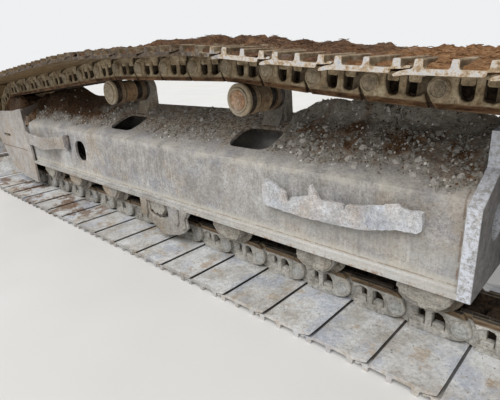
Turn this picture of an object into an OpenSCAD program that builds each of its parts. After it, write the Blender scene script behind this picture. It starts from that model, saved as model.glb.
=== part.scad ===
// Crawler track unit of a hydraulic excavator: side frame, rollers, idler, final drive and track.
// X points to the idler end, Y to the outboard side, Z up. The origin is on the ground, midway.

/* [Track] */
// Distance between two pins of the chain
pitch = 215.9; // [200:0.1:230]
// Number of links and of shoes
links = 48; // [46:1:50]
// Width of the shoes
shoe_w = 730; // [600:10:850]
// Thickness of a shoe's plate
shoe_t = 14; // [10:1:20]
// Height of the three grousers above the plate
grouser_h = 22; // [16:1:45]
// Height of the pin line above the shoes' inner face
shoe_drop = 57; // [45:1:70]
// Height of the rail above the pin line
rail_h = 59; // [45:1:70]
// Outer width over the two rows of links
chain_w = 218; // [190:2:240]
// Width of one row of links
link_w = 42; // [30:1:50]
// Distance from a pin to the bend where a shoe's raised rear edge begins
flick_s = 38; // [30:1:50]
// Position of the lower run's pins, as the X of one pin
pin_x = 31.3; // [-100:0.1:100]
// Sag of the upper run behind the rear carrier roller
sag = 25; // [0:1:40]

/* [Sprocket and final drive] */
// Position of the sprocket's centre along X
drive_x = -2032; // [-2060:1:-1990]
// Height of the sprocket's centre
drive_z = 464; // [458:1:478]
// Number of teeth, of which every second one meets a pin
teeth = 21; // [19:2:25]
// Radius of the bushing that sits between two teeth
bushing_r = 33; // [28:1:36]
// Width of the teeth
tooth_w = 76; // [60:1:90]

/* [Idler] */
// Position of the idler's centre along X
idler_x = 2043; // [2020:0.1:2080]
// Height of the idler's centre
idler_z = 446; // [434:1:460]
// Radius that the pins follow round the idler
idler_pin_r = 349; // [320:1:360]
// Radius of the idler's two treads
idler_tread_r = 272; // [240:1:290]

/* [Rollers] */
// Positions of the track rollers along X
ROLLER_X = [-1390, -971, -495, 53, 531, 993, 1396];
// Height of the track rollers' axles
roller_z = 236.3; // [230:0.1:250]
// Radius of the track rollers' treads
roller_tread_r = 84; // [75:1:95]
// Radius of the track rollers' outer flanges
roller_flange_r = 98; // [90:1:105]
// Positions of the carrier rollers along X
CARRIER_X = [-558, 457];
// Heights of the carrier rollers' axles
CARRIER_Z = [793, 801];
// Radius of the carrier rollers' treads
carrier_tread_r = 65; // [60:1:80]

/* [Side frame] */
// Rear end of the box, at the front face of the end plate
box_x0 = -1478; // [-1490:1:-1460]
// Front end of the box
box_x1 = 1707; // [1680:1:1720]
// Outer width of the box
box_w = 344; // [320:2:360]
// Underside of the bottom rails
rail_z = 252; // [248:1:266]
// Height of the bend between the outer plate and the sloped top
bend_z = 559; // [530:1:580]
// Height of the ridge at the inner side
ridge_z = 708; // [680:1:720]
// Thickness of the box's plates
plate_t = 14; // [10:1:18]
// Thickness of the bottom rails
strip_t = 18; // [14:1:24]
// How far the bottom rails stand out beyond the side plates
strip_out = 25; // [15:1:35]
// Inner edge of the bottom rails
strip_y0 = 124; // [120:1:130]
// Thickness of the rear end plate
end_t = 40; // [25:1:45]

/* [Guards and steps] */
// Distance from a side plate to the outer face of the front guard beside it
guard_off = 28; // [24:1:38]
// Thickness of the guards
guard_t = 14; // [8:1:16]
// Height of the step straps
step_h = 80; // [60:1:120]
// Thickness of the step straps
step_t = 12; // [8:1:16]

/* [Carbody joint] */
// Positions of the two stub legs along X
LEG_X = [-660, 660];
// Width of a leg's flange along X
leg_w = 440; // [400:10:480]
// Inboard face of the leg's flange
leg_y = -345; // [-360:1:-320]
// Radius of the bolt holes in the flange
leg_bolt_r = 16.5; // [12:0.5:20]

/* [Hidden] */
$fn = 64;
half_w = box_w / 2;
strip_y1 = half_w + strip_out;
guard_y = half_w + guard_off;
in_w = half_w - plate_t;
slope = (ridge_z - bend_z) / box_w;
slope_a = atan(slope);
strip_top = rail_z + strip_t;
// Vertical thickness of the sloped plate
top_drop = plate_t / cos(slope_a);
box_len = box_x1 - box_x0;
// Inboard plate that carries the final drive, across
bracket_y0 = -190;
bracket_y1 = -150;
// Width of the idler's sliding blocks, which fill the space from the hub to the side plates
block_w = 46;
hub_y = in_w - block_w;
// Radius at which the travel motor sits in that plate
motor_seat_r = 180;
// Half the length of the idler's sliding blocks
block_x = 88;
// Half the length of a track roller's shell
roller_y = 120;
drive_r = pitch / (2 * sin(2 * 180 / teeth));
body_in = chain_w / 2 - link_w;

mud_grey = [0.66, 0.63, 0.56];
mud_dark = [0.42, 0.38, 0.33];
rail_brown = [0.45, 0.30, 0.20];
tread_dark = [0.20, 0.18, 0.16];

// Unit vector at an angle, and the one to its left
function unit(a) = [cos(a), sin(a)];
function left(a) = [-sin(a), cos(a)];
// Height of the sloped top's surface at a given y
function top_z(y) = bend_z + slope * (half_w - y);

// Wheels that the pin line runs round, clockwise from the sprocket: x, z, radius of the pin line
roller_line = roller_tread_r + rail_h + 0.3;
// The straight links cut the corner over a carrier roller, so the pin line stands off from it
carrier_line = carrier_tread_r + rail_h + 5;
last_roller = ROLLER_X[len(ROLLER_X) - 1];
WHEELS = [
    [drive_x, drive_z, drive_r],
    [CARRIER_X[0], CARRIER_Z[0], carrier_line],
    [CARRIER_X[1], CARRIER_Z[1], carrier_line],
    [idler_x, idler_z, idler_pin_r],
    [last_roller, roller_z, roller_line],
    [ROLLER_X[0], roller_z, roller_line]];
count = len(WHEELS);
SAG = [sag, 0, 0, 0, 0, 0];

// Straight part after wheel k: its length and direction
function step_of(k) = WHEELS[(k + 1) % count] - WHEELS[k];
function span(k) = norm([step_of(k)[0], step_of(k)[1]]);
SPAN_A = [for (k = [0:count - 1])
    atan2(step_of(k)[1], step_of(k)[0]) + asin(step_of(k)[2] / span(k))];
SPAN_L = [for (k = [0:count - 1]) sqrt(pow(span(k), 2) - pow(step_of(k)[2], 2))];
// Angle that one pitch takes up on wheel k, and the chain's length on its arc
PITCH_A = [for (wheel = WHEELS) 2 * asin(pitch / (2 * wheel[2]))];
function turn(k) = (SPAN_A[(k + count - 1) % count] - SPAN_A[k] + 720) % 360;
ARC_L = [for (k = [0:count - 1]) turn(k) / PITCH_A[k] * pitch];
function sum_to(list, k) = k <= 0 ? 0 : list[k - 1] + sum_to(list, k - 1);
loop_len = sum_to(ARC_L, count) + sum_to(SPAN_L, count);
link_step = loop_len / links;

// Point at distance s along the pin line, which starts where the chain meets the sprocket
function on_arc(k, s) = [WHEELS[k][0], WHEELS[k][1]]
    + WHEELS[k][2] * left(SPAN_A[(k + count - 1) % count] - s / pitch * PITCH_A[k]);
function on_span(k, s) = [WHEELS[k][0], WHEELS[k][1]] + WHEELS[k][2] * left(SPAN_A[k])
    + s * unit(SPAN_A[k]) - SAG[k] * 4 * s * (SPAN_L[k] - s) / pow(SPAN_L[k], 2) * left(SPAN_A[k]);
function along(s, k = 0) =
    s < ARC_L[k] ? on_arc(k, s) :
    s < ARC_L[k] + SPAN_L[k] ? on_span(k, s - ARC_L[k]) :
    along(s - ARC_L[k] - SPAN_L[k], (k + 1) % count);

// The lower run is the span after the last track roller
lower_start = sum_to(ARC_L, 5) + sum_to(SPAN_L, 4);
lower_x0 = last_roller + roller_line * left(SPAN_A[4])[0];
first_s = lower_start + lower_x0 - pin_x;
PINS = [for (i = [0:links - 1]) along((first_s + i * link_step) % loop_len)];
function pin(i) = PINS[(i + links) % links];
function link_a(i) = atan2(pin(i + 1)[1] - pin(i)[1], pin(i + 1)[0] - pin(i)[0]);
// A point of link i, s along it from its pin and n outward, in X and Z
function at_link(i, s, n) = pin(i) + s * unit(link_a(i)) + n * left(link_a(i));

// Outer side of one shoe, as s and n: its raised rear edge, then three grousers
plate_n = shoe_drop + shoe_t;
tip_n = plate_n + grouser_h;
flick_n = plate_n + 5;
GROUSERS = [[8, 27], [89, 108], [171, 191]];
SHOE_OUT = concat([[-14, flick_n]],
    [for (g = GROUSERS)
        for (corner = [[g[0] - 7, plate_n], [g[0], tip_n], [g[1], tip_n], [g[1] + 5, plate_n]])
            corner]);
// Inner side of one shoe, from the bend at its rear to the end of its front lip
SHOE_IN = [[flick_s, shoe_drop], [link_step + 16, shoe_drop]];
LIP = [[link_step + 16, shoe_drop + 3]];
// Side of one link towards the rollers: pin boss and rail
LINK_RAIL = [[0, 16 - rail_h], [24, -rail_h], [link_step - 24, -rail_h]];

// Points of one profile on the links from i0 to i1, in the order of the path
function run_points(profile, i0, i1) = [for (i = [i0:i1]) for (p = profile) at_link(i, p[0], p[1])];
function loop_points(profile) = run_points(profile, 0, links - 1);
function reversed(list) = [for (k = [len(list) - 1:-1:0]) list[k]];

// Draws a flat shape of X and Z, thick from y0 to y1
module upright(y0, y1) {
    translate([0, y1, 0])
        rotate([90, 0, 0])
            linear_extrude(y1 - y0)
                children();
}

// Draws a flat shape of Y and Z, long from x0 to x1
module lengthwise(x0, x1) {
    translate([x0, 0, 0])
        rotate([90, 0, 90])
            linear_extrude(x1 - x0)
                children();
}

// Turns a profile of radius and y round an axis along Y
module turned(x, z) {
    translate([x, 0, z])
        rotate([-90, 0, 0])
            rotate_extrude()
                children();
}

// Round bar along Y
module bar(x, z, r, y0, y1) {
    translate([x, y1, z])
        rotate([90, 0, 0])
            cylinder(r = r, h = y1 - y0);
}

// Rectangle with round corners, from two crossed rectangles and four circles
module soft_rect(w, h, r) {
    square([w - 2 * r, h], center = true);
    square([w, h - 2 * r], center = true);
    for (sx = [-1, 1])
        for (sy = [-1, 1])
            translate([sx * (w / 2 - r), sy * (h / 2 - r)])
                circle(r);
}

// Outer plate of the box, with an access hole near the front
module side_plate_outer() {
    hole_x = box_x1 - 855;
    hole_z = strip_top + 161;
    color(mud_grey)
        difference() {
            lengthwise(box_x0, box_x1)
                polygon([[half_w - plate_t, strip_top], [half_w, strip_top],
                    [half_w, bend_z - top_drop], [half_w - plate_t, top_z(half_w - plate_t) - top_drop]]);
            upright(half_w - plate_t - 1, half_w + 1)
                translate([hole_x, hole_z])
                    soft_rect(134, 130, 50);
        }
}

// Inner plate of the box, which carries the carbody's legs
module side_plate_inner() {
    color(mud_grey)
        lengthwise(box_x0, box_x1)
            polygon([[-half_w, strip_top], [plate_t - half_w, strip_top],
                [plate_t - half_w, top_z(plate_t - half_w) - top_drop], [-half_w, ridge_z - top_drop]]);
}

// Sloped top, with a mud opening below each carrier roller
module top_plate() {
    hole_y = 24;
    color(mud_grey)
        difference() {
            lengthwise(box_x0, box_x1)
                polygon([[half_w, bend_z - top_drop], [half_w, bend_z], [-half_w, ridge_z],
                    [-half_w, ridge_z - top_drop]]);
            for (x = CARRIER_X)
                translate([x + 4, hole_y, top_z(hole_y)])
                    rotate([-slope_a, 0, 0])
                        translate([0, 0, -2 * plate_t])
                            linear_extrude(3 * plate_t)
                                soft_rect(240, 164, 52);
        }
}

// Two strips under the side plates, which the rollers' collars bolt to
module bottom_rails() {
    color(mud_grey)
        for (side = [-1, 1])
            translate([box_x0, side > 0 ? strip_y0 : -strip_y1, rail_z])
                cube([box_len, strip_y1 - strip_y0, strip_t]);
}

// Thick plate that closes the box at the rear and steps up at its middle
module rear_end_plate() {
    neck_y = 49;
    shoulder_z = bend_z - 17;
    crown_z = ridge_z + 23;
    color(mud_grey)
        difference() {
            lengthwise(box_x0 - end_t, box_x0)
                polygon([[bracket_y0, rail_z], [strip_y1, rail_z], [strip_y1, shoulder_z],
                    [neck_y, bend_z + 67], [neck_y, crown_z], [bracket_y0, crown_z]]);
            lengthwise(box_x0 - end_t - 1, box_x0 + 1)
                translate([0, rail_z + 204])
                    circle(70);
        }
}

// Inboard plate that holds the final drive, with two ribs back to the end plate
module drive_bracket() {
    bracket_x1 = box_x0 - end_t;
    rim_r = 262;
    rib = [130, 60, 30];
    color(mud_grey) {
        difference() {
            union() {
                bar(drive_x, drive_z, rim_r, bracket_y0, bracket_y1);
                upright(bracket_y0, bracket_y1)
                    polygon([[drive_x, drive_z - rim_r], [bracket_x1, rail_z + 20],
                        [bracket_x1, ridge_z - 22], [drive_x, drive_z + rim_r]]);
            }
            bar(drive_x, drive_z, motor_seat_r, bracket_y0 - 1, bracket_y1 + 1);
        }
        for (z = [rail_z + 64, bend_z + 27])
            translate([bracket_x1 - rib[0], bracket_y1, z])
                cube(rib);
    }
}

// Two slotted arms at the front, between which the idler slides, with end caps to the box
module front_fork() {
    arm_x1 = idler_x + 190;
    slot_half = 55;
    arm_t = 26;
    color(mud_grey)
        for (y0 = [in_w - arm_t, -in_w])
            difference() {
                upright(y0, y0 + arm_t)
                    polygon([[box_x1 - 120, strip_top], [box_x1 + 60, strip_top + 40],
                        [arm_x1 - 60, idler_z - 108], [arm_x1, idler_z - 80], [arm_x1, idler_z + 80],
                        [arm_x1 - 60, idler_z + 102], [box_x1 - 120, idler_z + 102]]);
                upright(y0 - 1, y0 + arm_t + 1)
                    translate([box_x1 - 121, idler_z - slot_half])
                        square([arm_x1 - box_x1 + 200, 2 * slot_half]);
            }
}

// Outline of a front guard, in X and Z from the box's front end and the bend
module guard_outline() {
    translate([box_x1, bend_z])
        polygon([[-78, -462], [-80, -230], [-38, -40], [-42, 90], [-13, 105], [157, 81], [425, 70],
            [528, 42], [588, -13], [588, -143], [536, -222], [478, -303], [415, -365],
            [298, -418], [178, -442], [22, -455]]);
}

// Blocks between a front guard and the box's plate
module guard_spacers(y0) {
    for (z = [bend_z - 273, bend_z - 73])
        translate([box_x1 - 38, y0, z])
            cube([36, guard_off - guard_t, 40]);
}

// Outer front guard, with a slot and a flange turned in over the sloped top
module guard_front_outer() {
    flange_x = box_x1 - 47;
    flange_y = 122;
    slot = [150, 26];
    color(mud_grey) {
        difference() {
            upright(guard_y - guard_t, guard_y)
                guard_outline();
            upright(guard_y - guard_t - 1, guard_y + 1)
                translate([box_x1 + 383, bend_z - 123])
                    soft_rect(slot[0], slot[1], slot[1] / 2 - 1);
        }
        lengthwise(flange_x, flange_x + guard_t)
            polygon([[guard_y - guard_t, bend_z - 13], [half_w, bend_z - 13], [half_w, bend_z],
                [flange_y, top_z(flange_y)], [flange_y, bend_z + 38], [flange_y - 69, bend_z + 138],
                [guard_y - guard_t, bend_z + 104]]);
        guard_spacers(half_w);
    }
}

// Inner front guard, the same plate on spacers
module guard_front_inner() {
    color(mud_grey) {
        upright(-guard_y, guard_t - guard_y)
            guard_outline();
        guard_spacers(guard_t - guard_y);
    }
}

// Guide guard at the middle roller: a plate hung from the bottom rail, cut out for the collar
module guard_centre(side) {
    hook_y = strip_y0 + 2;
    translate([ROLLER_X[3], 0, rail_z])
        mirror([0, side > 0 ? 0 : 1, 0]) {
            upright(half_w, half_w + guard_t)
                polygon([[138, 0], [142, -99], [61, -136], [16, -154], [-23, -173], [-63, -180],
                    [-176, -155], [-227, -130], [-267, -95], [-258, -50], [-286, -13], [-286, 0],
                    [-103, 0], [-103, -72], [-23, -91], [24, -87], [57, -72], [61, 0]]);
            for (x = [-256, 106])
                translate([x, hook_y, -20])
                    cube([30, half_w - hook_y, 20]);
        }
}

module guard_centre_outer() {
    color(mud_grey)
        guard_centre(1);
}

module guard_centre_inner() {
    color(mud_grey)
        guard_centre(-1);
}

// Front step: a strap that stands off the outer plate, and a short bar at its rear end
module step_front() {
    color(mud_grey)
        translate([box_x1, half_w, bend_z - 139]) {
            linear_extrude(step_h)
                polygon([[-700, 0], [-588, 0], [-552, 24], [-524, 62], [-484, 88], [-383, 77],
                    [-295, 63], [-204, 60], [-62, 28], [-22, 28], [-22, 40], [-58, 40],
                    [-204, 72], [-295, 75], [-383, 89], [-484, 100], [-502, 99], [-536, 72],
                    [-564, 32], [-593, step_t], [-700, step_t]]);
            translate([-707, 18, 8])
                cylinder(r = 19, h = step_h + 14);
        }
}

// What is left of the rear step: a torn strap that hangs from its rear return
module step_rear_torn() {
    stand = 26;
    color(mud_grey) {
        upright(half_w + stand, half_w + stand + step_t)
            translate([box_x0, bend_z])
                polygon([[748, -53], [620, -99], [520, -39], [461, -87], [128, -42], [115, -27],
                    [121, -119], [171, -127], [323, -159], [482, -164], [652, -174],
                    [738, -168]]);
        translate([box_x0 + 119, half_w, bend_z - 118])
            cube([14, stand, 74]);
        translate([box_x0 + 725, half_w, bend_z - 163])
            cube([14, stand, 90]);
    }
}

// Stub leg to the carbody: a box with a bolted flange
module carbody_leg(x) {
    flange_t = 32;
    z0 = rail_z + 64;
    z1 = bend_z + 67;
    difference() {
        union() {
            translate([x - leg_w / 2 + 70, leg_y + flange_t, z0 + 40])
                cube([leg_w - 140, -half_w - leg_y - flange_t, z1 - z0 - 80]);
            translate([x - leg_w / 2, leg_y, z0])
                cube([leg_w, flange_t, z1 - z0]);
        }
        for (sx = [-1, 1])
            for (sz = [-1, 1])
                bar(x + sx * (leg_w / 2 - 35), (z0 + z1) / 2 + sz * 120, leg_bolt_r,
                    leg_y - 1, leg_y + flange_t + 1);
    }
}

module carbody_leg_rear() {
    color(mud_grey)
        carbody_leg(LEG_X[0]);
}

module carbody_leg_front() {
    color(mud_grey)
        carbody_leg(LEG_X[1]);
}

// Toothed ring: a seat for the bushing at each gap, and flanks up to a flat tip
module sprocket() {
    // The pin nearest the rear of the sprocket sets where the gaps are
    rear_pin = along(ARC_L[0] * 0.5 - (ARC_L[0] * 0.5 - first_s % link_step) % link_step);
    gap_a = atan2(rear_pin[1] - drive_z, rear_pin[0] - drive_x);
    tooth_a = 360 / teeth;
    seat = [for (t = [-70:35:70]) [drive_r - (bushing_r + 1) * cos(t), (bushing_r + 1) * sin(t)]];
    color(rail_brown)
        difference() {
            upright(-tooth_w / 2, tooth_w / 2)
                translate([drive_x, drive_z])
                    polygon([for (k = [0:teeth - 1])
                        for (p = concat(seat, [[drive_r + 14, bushing_r + 12]]))
                            [p[0] * cos(gap_a + k * tooth_a) - p[1] * sin(gap_a + k * tooth_a),
                                p[0] * sin(gap_a + k * tooth_a) + p[1] * cos(gap_a + k * tooth_a)]]);
            bar(drive_x, drive_z, 252, -tooth_w / 2 - 1, tooth_w / 2 + 1);
        }
}

// Gear case of the final drive: a drum inside the sprocket and a stepped cover
module final_drive() {
    color(mud_grey)
        turned(drive_x, drive_z)
            polygon([[0, bracket_y1], [252, bracket_y1], [252, 60], [238, 78], [196, 84],
                [190, 118], [120, 132], [0, 132]]);
}

// Travel motor: a round body with a square valve block at its end
module travel_motor() {
    color(mud_dark) {
        bar(drive_x, drive_z, motor_seat_r, bracket_y0, bracket_y1);
        bar(drive_x, drive_z, 150, bracket_y0 - 60, bracket_y0);
        translate([drive_x - 105, bracket_y0 - 150, drive_z - 95])
            cube([210, 90, 190]);
    }
}

// Idler: two treads beside a centre flange, webs and a hub
module idler() {
    tread_r = idler_tread_r;
    color(tread_dark)
        turned(idler_x, idler_z)
            polygon([[44, -hub_y], [92, -hub_y], [100, -70], [190, -50], [200, -104], [tread_r, -104],
                [tread_r, -60], [tread_r + 24, -52], [tread_r + 24, 52], [tread_r, 60],
                [tread_r, 104], [200, 104], [190, 50], [100, 70], [92, hub_y], [44, hub_y]]);
}

// Axle of the idler with its two sliding blocks
module idler_axle() {
    color(mud_dark) {
        bar(idler_x, idler_z, 44, -hub_y, hub_y);
        for (y0 = [hub_y, -in_w])
            translate([idler_x - block_x, y0, idler_z - 52])
                cube([2 * block_x, block_w, 104]);
    }
}

// Yoke from the axle's blocks to the recoil spring
module idler_yoke() {
    yoke_x = box_x1 + 30;
    arm_t = 24;
    yoke_w = 2 * (hub_y + arm_t);
    color(mud_dark) {
        for (y0 = [hub_y, -hub_y - arm_t])
            translate([yoke_x, y0, idler_z - 40])
                cube([idler_x - block_x - yoke_x, arm_t, 80]);
        translate([yoke_x - 50, -yoke_w / 2, idler_z - 50])
            cube([50, yoke_w, 100]);
    }
}

// Recoil spring and its rod inside the box, seen through the openings
module recoil_spring() {
    coils = 12;
    spring_x1 = box_x1 - 20;
    coil_step = 78;
    color(mud_dark) {
        translate([spring_x1 - coils * coil_step - 60, 0, idler_z])
            rotate([0, 90, 0])
                cylinder(r = 62, h = coils * coil_step + 60);
        for (k = [0:coils - 1])
            translate([spring_x1 - 60 - k * coil_step, 0, idler_z])
                rotate([0, 90, 0])
                    cylinder(r = 98, h = 34);
        translate([spring_x1 - coils * coil_step - 100, -in_w, idler_z - 120])
            cube([40, 2 * in_w, 220]);
    }
}

// Track roller: two treads with an outer flange each, and a neck between them
module track_roller(x) {
    tread_r = roller_tread_r;
    flange_r = roller_flange_r;
    y1 = roller_y;
    color(tread_dark)
        turned(x, roller_z)
            polygon([[0, -y1], [flange_r - 8, -y1], [flange_r, 6 - y1], [flange_r, 10 - y1],
                [tread_r, 12 - y1], [tread_r, -62], [66, -54], [66, 54], [tread_r, 62],
                [tread_r, y1 - 12], [flange_r, y1 - 10], [flange_r, y1 - 6], [flange_r - 8, y1],
                [0, y1]]);
}

module track_roller_1() { track_roller(ROLLER_X[0]); }
module track_roller_2() { track_roller(ROLLER_X[1]); }
module track_roller_3() { track_roller(ROLLER_X[2]); }
module track_roller_4() { track_roller(ROLLER_X[3]); }
module track_roller_5() { track_roller(ROLLER_X[4]); }
module track_roller_6() { track_roller(ROLLER_X[5]); }
module track_roller_7() { track_roller(ROLLER_X[6]); }

// Collars that hold the rollers' axles: round below, with a block that stands out to the front
module roller_collars() {
    collar_r = 74;
    block_x1 = 103;
    y0 = strip_y0 + 2;
    y1 = half_w - 4;
    color(mud_grey)
        for (x = ROLLER_X)
            for (side = [0, 1])
                mirror([0, side, 0]) {
                    intersection() {
                        union() {
                            bar(x, roller_z, collar_r, y0, y1);
                            upright(y0, y1)
                                translate([x, roller_z])
                                    polygon([[0, -collar_r], [45, -collar_r], [86, -60],
                                        [block_x1, -44], [block_x1, 20], [0, 20]]);
                        }
                        translate([x - collar_r, y0, 0])
                            cube([collar_r + block_x1, y1 - y0, rail_z]);
                    }
                    bar(x, roller_z, 40, roller_y, y0);
                }
}

// Carrier roller: two treads with a ring beside each, a body between them and an end cap
module carrier_roller(k) {
    tread_r = carrier_tread_r;
    cap_r = 67;
    color(tread_dark)
        turned(CARRIER_X[k], CARRIER_Z[k])
            polygon([[0, -104], [40, -104], [40, -98], [tread_r, -96], [tread_r, -58],
                [tread_r - 3, -54], [58, -20], [58, 52], [tread_r - 3, 56], [tread_r - 3, 76],
                [tread_r, 80], [tread_r, 112], [cap_r, 113], [cap_r, 126], [58, 130], [54, 136],
                [0, 136]]);
}

module carrier_roller_rear() {
    carrier_roller(0);
}

module carrier_roller_front() {
    carrier_roller(1);
}

// Post on the inner side of the sloped top, with a toe that runs down the slope
module carrier_bracket(k) {
    x = CARRIER_X[k];
    z = CARRIER_Z[k];
    head_r = 62;
    foot_x = 68;
    post_y0 = -152;
    post_y1 = -104;
    toe_y = -66;
    color(mud_grey) {
        difference() {
            union() {
                bar(x, z, head_r, post_y0, post_y1);
                upright(post_y0, post_y1)
                    polygon([[x - foot_x, ridge_z - 82], [x + foot_x, ridge_z - 82],
                        [x + head_r, z], [x - head_r, z]]);
            }
            lengthwise(x - 200, x + 200)
                polygon([[half_w, 0], [half_w, bend_z], [-half_w, ridge_z], [-half_w, 0]]);
        }
        lengthwise(x - 50, x + 50)
            polygon([[post_y1, top_z(post_y1)], [toe_y, top_z(toe_y)],
                [toe_y - 20, top_z(post_y1) + 16], [post_y1, z - head_r]]);
    }
}

module carrier_bracket_rear() {
    carrier_bracket(0);
}

module carrier_bracket_front() {
    carrier_bracket(1);
}

// Two rows of links joined by their bushings
module track_chain() {
    color(rail_brown) {
        for (side = [-1, 1])
            upright(side > 0 ? body_in : -chain_w / 2, side > 0 ? chain_w / 2 : -body_in)
                difference() {
                    polygon(loop_points(SHOE_IN));
                    polygon(loop_points(LINK_RAIL));
                }
        for (i = [0:links - 1])
            translate([pin(i)[0], body_in + 1, pin(i)[1]])
                rotate([90, 0, 0])
                    cylinder(r = bushing_r, h = 2 * body_in + 2, $fn = 6);
    }
}

// Shoes of the rear and the front half of the loop, each a band with three grousers for a shoe
module track_shoes() {
    half = links / 2;
    color(mud_grey)
        upright(-shoe_w / 2, shoe_w / 2)
            for (i0 = [0, half]) {
                i1 = i0 + half - 1;
                polygon(concat(run_points(SHOE_OUT, i0, i1), run_points(LIP, i1, i1),
                    reversed(run_points(SHOE_IN, i0, i1))));
            }
}

side_plate_outer();
side_plate_inner();
top_plate();
bottom_rails();
rear_end_plate();
drive_bracket();
front_fork();
guard_front_outer();
guard_front_inner();
guard_centre_outer();
guard_centre_inner();
step_front();
step_rear_torn();
carbody_leg_rear();
carbody_leg_front();
sprocket();
final_drive();
travel_motor();
idler();
idler_axle();
idler_yoke();
recoil_spring();
track_roller_1();
track_roller_2();
track_roller_3();
track_roller_4();
track_roller_5();
track_roller_6();
track_roller_7();
roller_collars();
carrier_roller_rear();
carrier_roller_front();
carrier_bracket_rear();
carrier_bracket_front();
track_chain();
track_shoes();
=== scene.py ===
"""Looks of an excavator's crawler track unit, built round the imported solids.

Lengths in the classes are millimetres in the part's own frame: X to the idler, Y outboard, Z up.
"""

import logging
import math
import random
from dataclasses import dataclass, field
from enum import Enum
from typing import Callable, Iterable, Sequence

import bmesh
import bpy
from mathutils import Matrix, Vector, noise


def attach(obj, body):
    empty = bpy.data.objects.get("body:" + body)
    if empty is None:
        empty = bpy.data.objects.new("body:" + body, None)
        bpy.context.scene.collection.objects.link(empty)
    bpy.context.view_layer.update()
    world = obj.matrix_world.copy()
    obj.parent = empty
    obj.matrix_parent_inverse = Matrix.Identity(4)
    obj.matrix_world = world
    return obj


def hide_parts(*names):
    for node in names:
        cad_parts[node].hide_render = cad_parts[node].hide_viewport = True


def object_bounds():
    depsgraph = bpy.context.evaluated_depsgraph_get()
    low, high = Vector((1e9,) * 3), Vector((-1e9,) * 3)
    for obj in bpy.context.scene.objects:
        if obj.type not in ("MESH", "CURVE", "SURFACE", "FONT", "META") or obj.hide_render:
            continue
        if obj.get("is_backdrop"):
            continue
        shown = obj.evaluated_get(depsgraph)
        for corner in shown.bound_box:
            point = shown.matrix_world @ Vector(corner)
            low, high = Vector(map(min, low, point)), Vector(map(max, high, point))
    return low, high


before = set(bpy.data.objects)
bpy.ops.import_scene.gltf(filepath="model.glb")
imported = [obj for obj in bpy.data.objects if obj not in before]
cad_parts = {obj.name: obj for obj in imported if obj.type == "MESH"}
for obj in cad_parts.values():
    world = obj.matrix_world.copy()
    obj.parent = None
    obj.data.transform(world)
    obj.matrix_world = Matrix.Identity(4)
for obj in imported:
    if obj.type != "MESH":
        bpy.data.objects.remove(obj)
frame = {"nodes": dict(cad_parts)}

LOG = logging.getLogger("track_unit")
MM = 0.001
Point2 = tuple[float, float]
Point3 = tuple[float, float, float]
Colour = tuple[float, float, float]
Span = tuple[float, float]
Mesh = bpy.types.Mesh
Material = bpy.types.Material
Socket = bpy.types.NodeSocket
Thing = bpy.types.Object


class Side(Enum):
    """Which row of links, roller end or guard a piece belongs to."""

    INNER = -1
    OUTER = 1

    def mirror(self) -> Matrix:
        """Returns the matrix that sets an outer piece on this side."""
        return Matrix.Scale(self.value, 4, Vector((0, 1, 0)))


class Slot(Enum):
    """Material slots of the record."""

    FRAME = "frame_plate"
    CASTING = "castings"
    CHAIN = "chain_steel"
    ROLLER = "roller_steel"
    SHOE = "shoe_steel"


# Helpers


def rgb(red: int, green: int, blue: int) -> Colour:
    """Returns the linear colour of three written levels from 0 to 255.

    Args:
        red: Level of red, 0 to 255.
        green: Level of green.
        blue: Level of blue.

    Returns:
        The linear colour.
    """
    def one(level: int) -> float:
        """Returns one level as a linear share."""
        share = level / 255
        return share / 12.92 if share < 0.04045 else ((share + 0.055) / 1.055) ** 2.4
    return one(red), one(green), one(blue)


def ease(value: float, low: float, high: float) -> float:
    """Returns a smooth step from 0 at low to 1 at high."""
    t = min(1.0, max(0.0, (value - low) / (high - low)))
    return t * t * (3 - 2 * t)


def grain(x: float, y: float, z: float, size: float, octaves: int = 3) -> float:
    """Returns fractal noise of about -1 to 1 with lumps of the given size in mm."""
    return noise.fractal(Vector((x, y, z)) / size, 0.9, 2.1, octaves)


def level_at(line: Sequence[Point2], x: float) -> float:
    """Returns the level of a broken line at x, or that of its nearer end beyond it.

    Args:
        line: Points of the line.
        x: Place to read it at.

    Returns:
        The level.
    """
    for (ax, az), (bx, bz) in zip(line, line[1:]):
        if ax <= x <= bx:
            return az + (bz - az) * (x - ax) / (bx - ax)
    return line[0][1] if x < line[0][0] else line[-1][1]


def placed(name: str, data: bpy.types.ID) -> Thing:
    """Returns a new object that holds the data and stands in the scene."""
    thing = bpy.data.objects.new(name, data)
    bpy.context.scene.collection.objects.link(thing)
    return thing


def baked(holder: Thing) -> Mesh:
    """Returns what an object comes to with its modifiers as a plain mesh, and removes it."""
    bpy.context.view_layer.update()
    evaluated = holder.evaluated_get(bpy.context.evaluated_depsgraph_get())
    mesh = bpy.data.meshes.new_from_object(evaluated)
    bpy.data.objects.remove(holder)
    return mesh


def new_mesh(points: Sequence[Point3], faces: Sequence[Sequence[int]]) -> Mesh:
    """Returns a mesh from points in mm and faces, with its normals turned outwards.

    Args:
        points: Corners in mm.
        faces: Numbers of each face's corners.

    Returns:
        The mesh, in metres.
    """
    mesh = bpy.data.meshes.new("draft")
    mesh.from_pydata([(x * MM, y * MM, z * MM) for x, y, z in points], [], faces)
    return tidy_mesh(mesh)


def tidy_mesh(mesh: Mesh, outward: bool = True) -> Mesh:
    """Merges doubled points and, for a closed mesh, turns the normals outwards.

    Args:
        mesh: The mesh to change in place.
        outward: False for an open sheet, whose faces stay as they are.

    Returns:
        The same mesh.
    """
    work = bmesh.new()
    work.from_mesh(mesh)
    bmesh.ops.remove_doubles(work, verts=work.verts, dist=0.00002)
    bmesh.ops.dissolve_degenerate(work, edges=work.edges, dist=0.00001)
    if outward:
        bmesh.ops.recalc_face_normals(work, faces=work.faces)
    work.to_mesh(mesh)
    work.free()
    return mesh


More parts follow.
